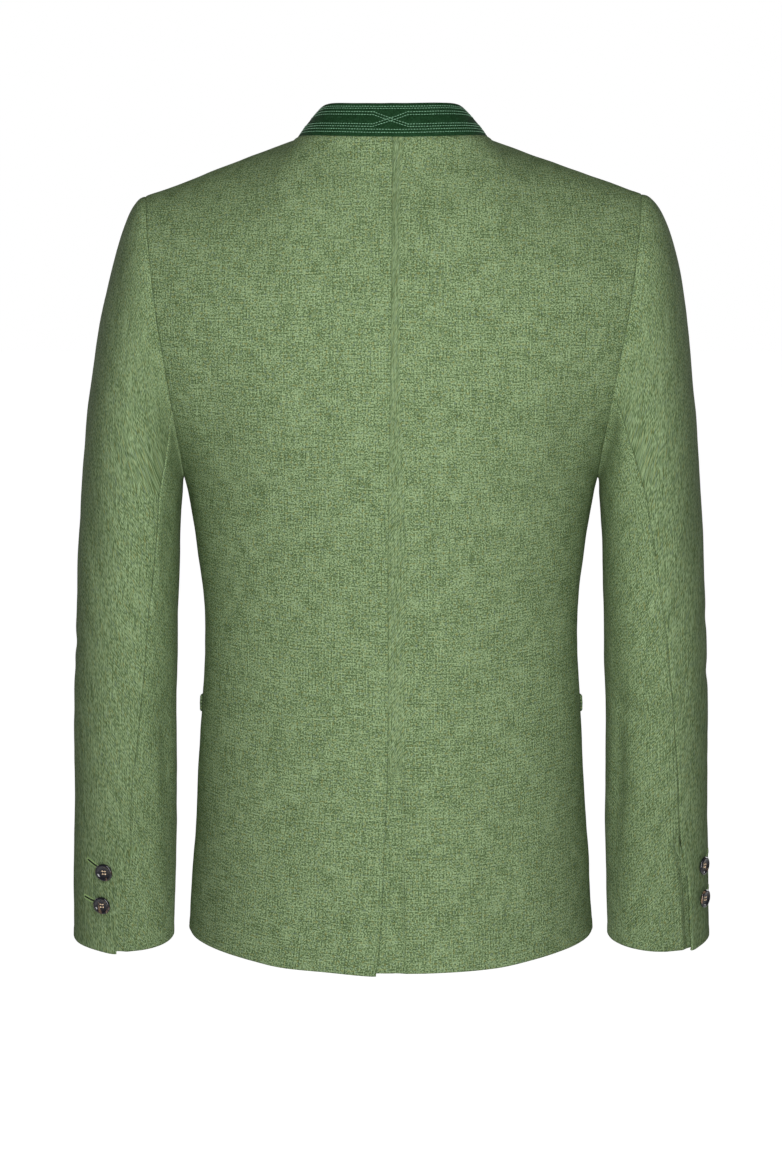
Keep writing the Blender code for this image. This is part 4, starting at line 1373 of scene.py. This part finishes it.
def turned_button():
    """Turned disc with a raised rim, drilled through four times"""
    shape = bmesh.new()
    line = [shape.verts.new((row.radius, 0, row.height)) for row in BUTTON_OUTLINE]
    edges = [shape.edges.new(pair) for pair in zip(line, line[1:])]
    bmesh.ops.spin(shape, geom=line + edges, cent=(0, 0, 0), axis=(0, 0, 1), angle=2 * pi, steps=48,
                   use_merge=True)
    bmesh.ops.remove_doubles(shape, verts=shape.verts[:], dist=0.00001)
    bmesh.ops.recalc_face_normals(shape, faces=shape.faces[:])
    disc = linked("button_disc", mesh_of(shape, "button_disc"))
    shape = bmesh.new()
    for place in button_hole_places():
        bmesh.ops.create_cone(shape, cap_ends=True, segments=14, radius1=0.0009, radius2=0.0009, depth=0.012,
                              matrix=Matrix.Translation(place))
    drill = linked("button_drill", mesh_of(shape, "button_drill"))
    cut = disc.modifiers.new("Holes", "BOOLEAN")
    cut.operation = "DIFFERENCE"
    cut.object = drill
    mesh = evaluated_mesh(disc)
    for item in (disc, drill):
        bpy.data.objects.remove(item)
    mesh.shade_smooth()
    mesh.set_sharp_from_angle(angle=radians(40))
    return mesh


def button_hole_places():
    angles = [radians(45 + 90 * n) for n in range(4)]
    return [Vector((cos(angle), sin(angle), 0)) * BUTTON_HOLE_PLACE for angle in angles]


def button_frame(point, normal):
    """Turns a button to lie on the cloth, with two of its holes level"""
    across = UP.cross(normal).normalized()
    turn = Matrix((across, normal.cross(across), normal)).transposed().to_4x4()
    return Matrix.Translation(point + normal * BUTTON_SEAT) @ turn


def thread_mesh():
    """Two crossing loops of thread through the holes, and the shank behind"""
    shape = bmesh.new()
    face = 0.0024
    holes = [place + Vector((0, 0, face)) for place in button_hole_places()]
    for first, second in ((0, 1), (3, 2)):
        spindle(shape, holes[first], holes[second], UP, 0.00026, 8, 6)
    # A pale dot of thread over each hole: real thread, and also a painted highlight of the glint there
    for place in holes:
        spindle(shape, place - UP * 0.0014, place + UP * 0.00045, Vector((1, 0, 0)), 0.00078, 8, 6)
    bmesh.ops.create_cone(shape, cap_ends=True, segments=14, radius1=0.0016, radius2=0.0012, depth=0.0026,
                          matrix=Matrix.Translation((0, 0, -0.0006)))
    mesh = mesh_of(shape, "button_thread")
    mesh.shade_smooth()
    mesh.set_sharp_from_angle(angle=radians(50))
    return mesh


def button_places():
    """Name of each button's node, with the cloth's point and normal under it"""
    for side, name in SIDES:
        for number, row in enumerate(CUFF_BUTTONS, 1):
            spot = framed(partial(sleeve, side), on_side(row, side), drop_of(row.height), side)
            yield f"cuff_button_{name}_{number}", spot
    for number, height in enumerate(FRONT_BUTTON_HEIGHTS, 1):
        yield f"front_button_{number}", framed(partial(front, 1), 0.0, front_row(height), 1)


def buttonhole(place, start, end):
    """Thread worked round a slit: place(a, b) is the cloth a along the hole and b across it"""
    thread = sizes().thread * HOLE_THREAD
    spans = []
    for a in spaced(start, end, round((end - start) / HOLE_PITCH)):
        spans += [((a, HOLE_INNER), (a, HOLE_OUTER)), ((a, -HOLE_INNER), (a, -HOLE_OUTER))]
    for tip, way in ((start, -1), (end, 1)):
        for angle in (radians(turn) for turn in range(-70, 71, 28)):
            reach = Vector((cos(angle) * way, sin(angle)))
            spans.append(((tip + reach.x * HOLE_INNER, reach.y * HOLE_INNER),
                          (tip + reach.x * HOLE_OUTER, reach.y * HOLE_OUTER)))
    made = []
    for first, second in spans:
        (low, normal), (high, _) = place(*first), place(*second)
        made.append((low + normal * thread * 0.7, high + normal * thread * 0.3, normal, thread))
    # Dark pieces along the slit: painted shade inside the buttonhole
    slit = []
    stops = [place(a, 0) for a in spaced(start, end, SLIT_PARTS)]
    for (low, normal), (high, _) in zip(stops, stops[1:]):
        past = (high - low) * SLIT_PAST
        slit.append((low - past, high + past, normal, SLIT_RADIUS))
    return made, slit


def cuff_hole(side, row, tilt):
    def place(a, b):
        along = a * cos(radians(tilt)) - b * sin(radians(tilt))
        rise = a * sin(radians(tilt)) + b * cos(radians(tilt))
        return on_sleeve(side, on_side(row, side) + degrees(along / CUFF_RADIUS), drop_of(row.height + rise))
    return place


def front_hole(height):
    climb = front_row(height)
    surface = partial(front, 1)
    per_u = (surface(0.02, climb) - surface(0.0, climb)).length / 0.02
    per_v = (surface(0.0, climb + 0.01) - surface(0.0, climb)).length / 0.01
    def place(a, b):
        return lying(surface, a / per_u, climb + b / per_v, 1)
    return place


# Operators

class JACKET_OT_back(bpy.types.Operator):
    """Lays the two back panels"""
    bl_idname = "jacket.back"
    bl_label = "Back panels"

    def execute(self, context):
        rows = body_rows(CLOTH_STEP, 0.19, CLOTH_STEP)
        wall = sizes().cloth
        joins = ("seam", "seam", "edge", "seam")
        cloth_piece("back_left", back_left, graded(0, 1, 0.26, CLOTH_STEP), rows, -1, wall, joins)
        columns = in_order(graded(0, 1, 0.25, CLOTH_STEP)[:-FINE], graded(1, 2, 0.030, 0.0020))
        cloth_piece("back_right", back_right, columns, rows, -1, wall, joins, 1)
        return {"FINISHED"}


class JACKET_OT_fronts(bpy.types.Operator):
    """Lays the two fronts, the wearer's left over the right"""
    bl_idname = "jacket.fronts"
    bl_label = "Fronts"

    def execute(self, context):
        rows = body_rows(0.0045, 0.12, 0.0040)
        columns = in_order(graded(-1, 0, 0.018, 0.0030)[:1 - FINE], graded(0, 1, 0.27, 0.0042)[FINE - 1:])
        joins = ("edge", "seam", "edge", "seam")
        for side, name in SIDES:
            cloth_piece("front_" + name, partial(front, side), columns, rows, side, sizes().cloth, joins)
        return {"FINISHED"}


class JACKET_OT_sleeves(bpy.types.Operator):
    """Lays the outer and the inner half of each sleeve"""
    bl_idname = "jacket.sleeves"
    bl_label = "Sleeves"

    def execute(self, context):
        rows = in_order(graded(0, 1, 0.17, CLOTH_STEP)[:-FINE], [1.0], graded(1, 2, 0.40, CLOTH_STEP)[FINE:])
        upper_columns = graded(0, 1, 0.20, CLOTH_STEP)
        under_columns = in_order(graded(0, 1, 0.09, CLOTH_STEP)[:-FINE], graded(1, 2, 0.022, 0.0018))
        wall = sizes().cloth
        joins = ("seam", "seam", "seam", "edge")
        for side, name in SIDES:
            upper, under = partial(upper_sleeve, side), partial(under_sleeve, side)
            cloth_piece("sleeve_upper_" + name, upper, upper_columns, rows, side, wall, joins, 0.5)
            cloth_piece("sleeve_under_" + name, under, under_columns, rows, side, wall, joins, 0.5)
        return {"FINISHED"}


class JACKET_OT_collar(bpy.types.Operator):
    """Lays the quilted collar, with its rows of stitching and its piped and whipped edges"""
    bl_idname = "jacket.collar"
    bl_label = "Collar"

    def execute(self, context):
        given = sizes()
        end = 1 - COLLAR_END_GAP / NECK_END_SPEED
        middle = CROSSING_SIDE * 1.2
        columns = spaced(-end, -middle, 110)[:-1] + spaced(-middle, middle, 48) + spaced(middle, end, 110)[1:]
        joins = ("edge", "edge", "edge", "edge")
        cloth_piece("collar", collar, columns, spaced(COLLAR_FOOT, 1, 58), -1, given.collar_cloth, joins,
                    material="collar loden", extra=quilting)
        sewn("collar_rows", collar_stitches(), "collar thread")
        sewn("collar_whipping", whip_stitches(), "collar thread")
        def rim(w):
            point, normal = lying(collar, w, 1.0, -1)
            return point - normal * given.collar_cloth * 0.5
        points = [rim(w) for w in spaced(-end * 0.985, end * 0.985, 260)]
        tube("collar_piping", points, given.collar_cloth * 0.56, "collar loden")
        return {"FINISHED"}


class JACKET_OT_pockets(bpy.types.Operator):
    """Lays a welt on each hip pocket"""
    bl_idname = "jacket.pockets"
    bl_label = "Pocket welts"

    def execute(self, context):
        columns, rows = graded(0, 1, 0.17, 0.004), graded(0, 1, 0.0145, 0.0030)
        joins = ("edge", "edge", "edge", "edge")
        for side, name in SIDES:
            cloth_piece("pocket_welt_" + name, partial(welt, side), columns, rows, side, sizes().welt_cloth,
                        joins)
        return {"FINISHED"}


class JACKET_OT_seams(bpy.types.Operator):
    """Sews the seams of the body and the sleeves"""
    bl_idname = "jacket.seams"
    bl_label = "Seam stitches"

    def execute(self, context):
        sewn("centre_back_stitches", seam_stitches(back_seam_places()), "seam thread")
        seams = {"side": side_seam_places, "shoulder": shoulder_places, "armhole": armhole_places,
                 "hind": hind_seam_places, "fore": fore_seam_places}
        for side, name in SIDES:
            for label, places in seams.items():
                sewn(f"{label}_stitches_{name}", seam_stitches(places(side)), "seam thread")
        return {"FINISHED"}


class JACKET_OT_buttons(bpy.types.Operator):
    """Sews the horn buttons on, and works the buttonholes"""
    bl_idname = "jacket.buttons"
    bl_label = "Buttons and buttonholes"

    def execute(self, context):
        disc, thread = turned_button(), thread_mesh()
        for node, (point, normal) in button_places():
            place = button_frame(point, normal)
            pieces = (("_horn", disc, "dark horn", [node]), ("_thread", thread, "button thread", ()))
            for label, mesh, material, nodes in pieces:
                copy = mesh.copy()
                copy.transform(place)
                finished(node + label, copy, material, nodes)
        end = sizes().buttonhole
        holes = [buttonhole(cuff_hole(side, row, tilt), -0.001, end)
                 for row, tilt in zip(CUFF_BUTTONS, CUFF_HOLE_TILTS) for side, _ in SIDES]
        holes += [buttonhole(front_hole(height), -0.002, end) for height in FRONT_BUTTON_HEIGHTS]
        sewn("buttonhole_thread", [stitch for made, _ in holes for stitch in made], "buttonhole thread")
        # The slits are dark pieces that paint the shade inside the buttonholes
        sewn("buttonhole_slits", [part for _, slit in holes for part in slit], "buttonhole slit")
        return {"FINISHED"}


def aimed(name, data, place, target):
    """Adds a lamp or a camera that looks at a target"""
    item = linked(name, data)
    item.location = place
    item.rotation_mode = "QUATERNION"
    item.rotation_quaternion = (target - Vector(place)).to_track_quat("-Z", "Y")
    return item


class JACKET_OT_studio(bpy.types.Operator):
    """Sets the pale floor, the soft lights and the camera"""
    bl_idname = "jacket.studio"
    bl_label = "Studio"

    def execute(self, context):
        scene = context.scene
        given = scene.jacket_studio
        shape = bmesh.new()
        bmesh.ops.create_circle(shape, cap_ends=True, segments=96, radius=FLOOR_RADIUS,
                                matrix=Matrix.Translation((0, 0, given.floor_height)))
        floor = linked("floor", mesh_of(shape, "floor"))
        floor.data.materials.append(material_named("pale floor"))

        for row in LAMPS:
            lamp = bpy.data.lights.new(row.name, "AREA")
            lamp.shape = "RECTANGLE"
            lamp.size = row.width
            lamp.size_y = row.height
            lamp.energy = getattr(given, row.power)
            aimed(row.name, lamp, row.place, LIGHT_AIM).visible_camera = False

        world = bpy.data.worlds.new("air")
        world.use_nodes = True
        tree = world.node_tree
        sky = tree.nodes["Background"]
        sky.inputs["Color"].default_value = (1, 1, 1, 1)
        seen = wired(tree, "ShaderNodeLightPath").outputs["Is Camera Ray"]
        values = {"Value": seen, "To Min": given.air, "To Max": 1.0}
        tree.links.new(wired(tree, "ShaderNodeMapRange", values).outputs[0], sky.inputs["Strength"])
        scene.world = world
        scene.view_settings.view_transform = "Standard"

        lens = bpy.data.cameras.new("camera")
        lens.lens = FOCAL_LENGTH
        lens.sensor_width = SENSOR_WIDTH
        lens.clip_start = 0.05
        lens.clip_end = 200
        scene.camera = aimed("camera", lens, CAMERA_PLACE, CAMERA_AIM)
        return {"FINISHED"}


class JACKET_PT_panel(bpy.types.Panel):
    """Lists the steps that make the jacket"""
    bl_label = "Folk jacket"
    bl_idname = "JACKET_PT_panel"
    bl_space_type = "VIEW_3D"
    bl_region_type = "UI"
    bl_category = "Jacket"

    def draw(self, context):
        for operator in OPERATORS:
            self.layout.operator(operator.bl_idname)
        for group in (context.scene.jacket_sizes, context.scene.jacket_colours, context.scene.jacket_studio):
            box = self.layout.box()
            for name in group.bl_rna.properties.keys():
                if name not in ("rna_type", "name"):
                    box.prop(group, name)


OPERATORS = (JACKET_OT_back, JACKET_OT_fronts, JACKET_OT_sleeves, JACKET_OT_collar, JACKET_OT_pockets,
             JACKET_OT_seams, JACKET_OT_buttons, JACKET_OT_studio)
GROUPS = {"jacket_sizes": JacketSizes, "jacket_colours": JacketColours, "jacket_studio": JacketStudio}


def register():
    for kind in (*GROUPS.values(), *OPERATORS, JACKET_PT_panel):
        bpy.utils.register_class(kind)
    for name, group in GROUPS.items():
        setattr(bpy.types.Scene, name, PointerProperty(type=group))


def unregister():
    for name in GROUPS:
        delattr(bpy.types.Scene, name)
    for kind in (JACKET_PT_panel, *OPERATORS[::-1], *GROUPS.values()):
        bpy.utils.unregister_class(kind)


def main():
    register()
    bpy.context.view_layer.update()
    for step in (bpy.ops.jacket.back, bpy.ops.jacket.fronts, bpy.ops.jacket.sleeves, bpy.ops.jacket.collar,
                 bpy.ops.jacket.pockets, bpy.ops.jacket.seams, bpy.ops.jacket.buttons, bpy.ops.jacket.studio):
        step()


if __name__ == "__main__":
    main()
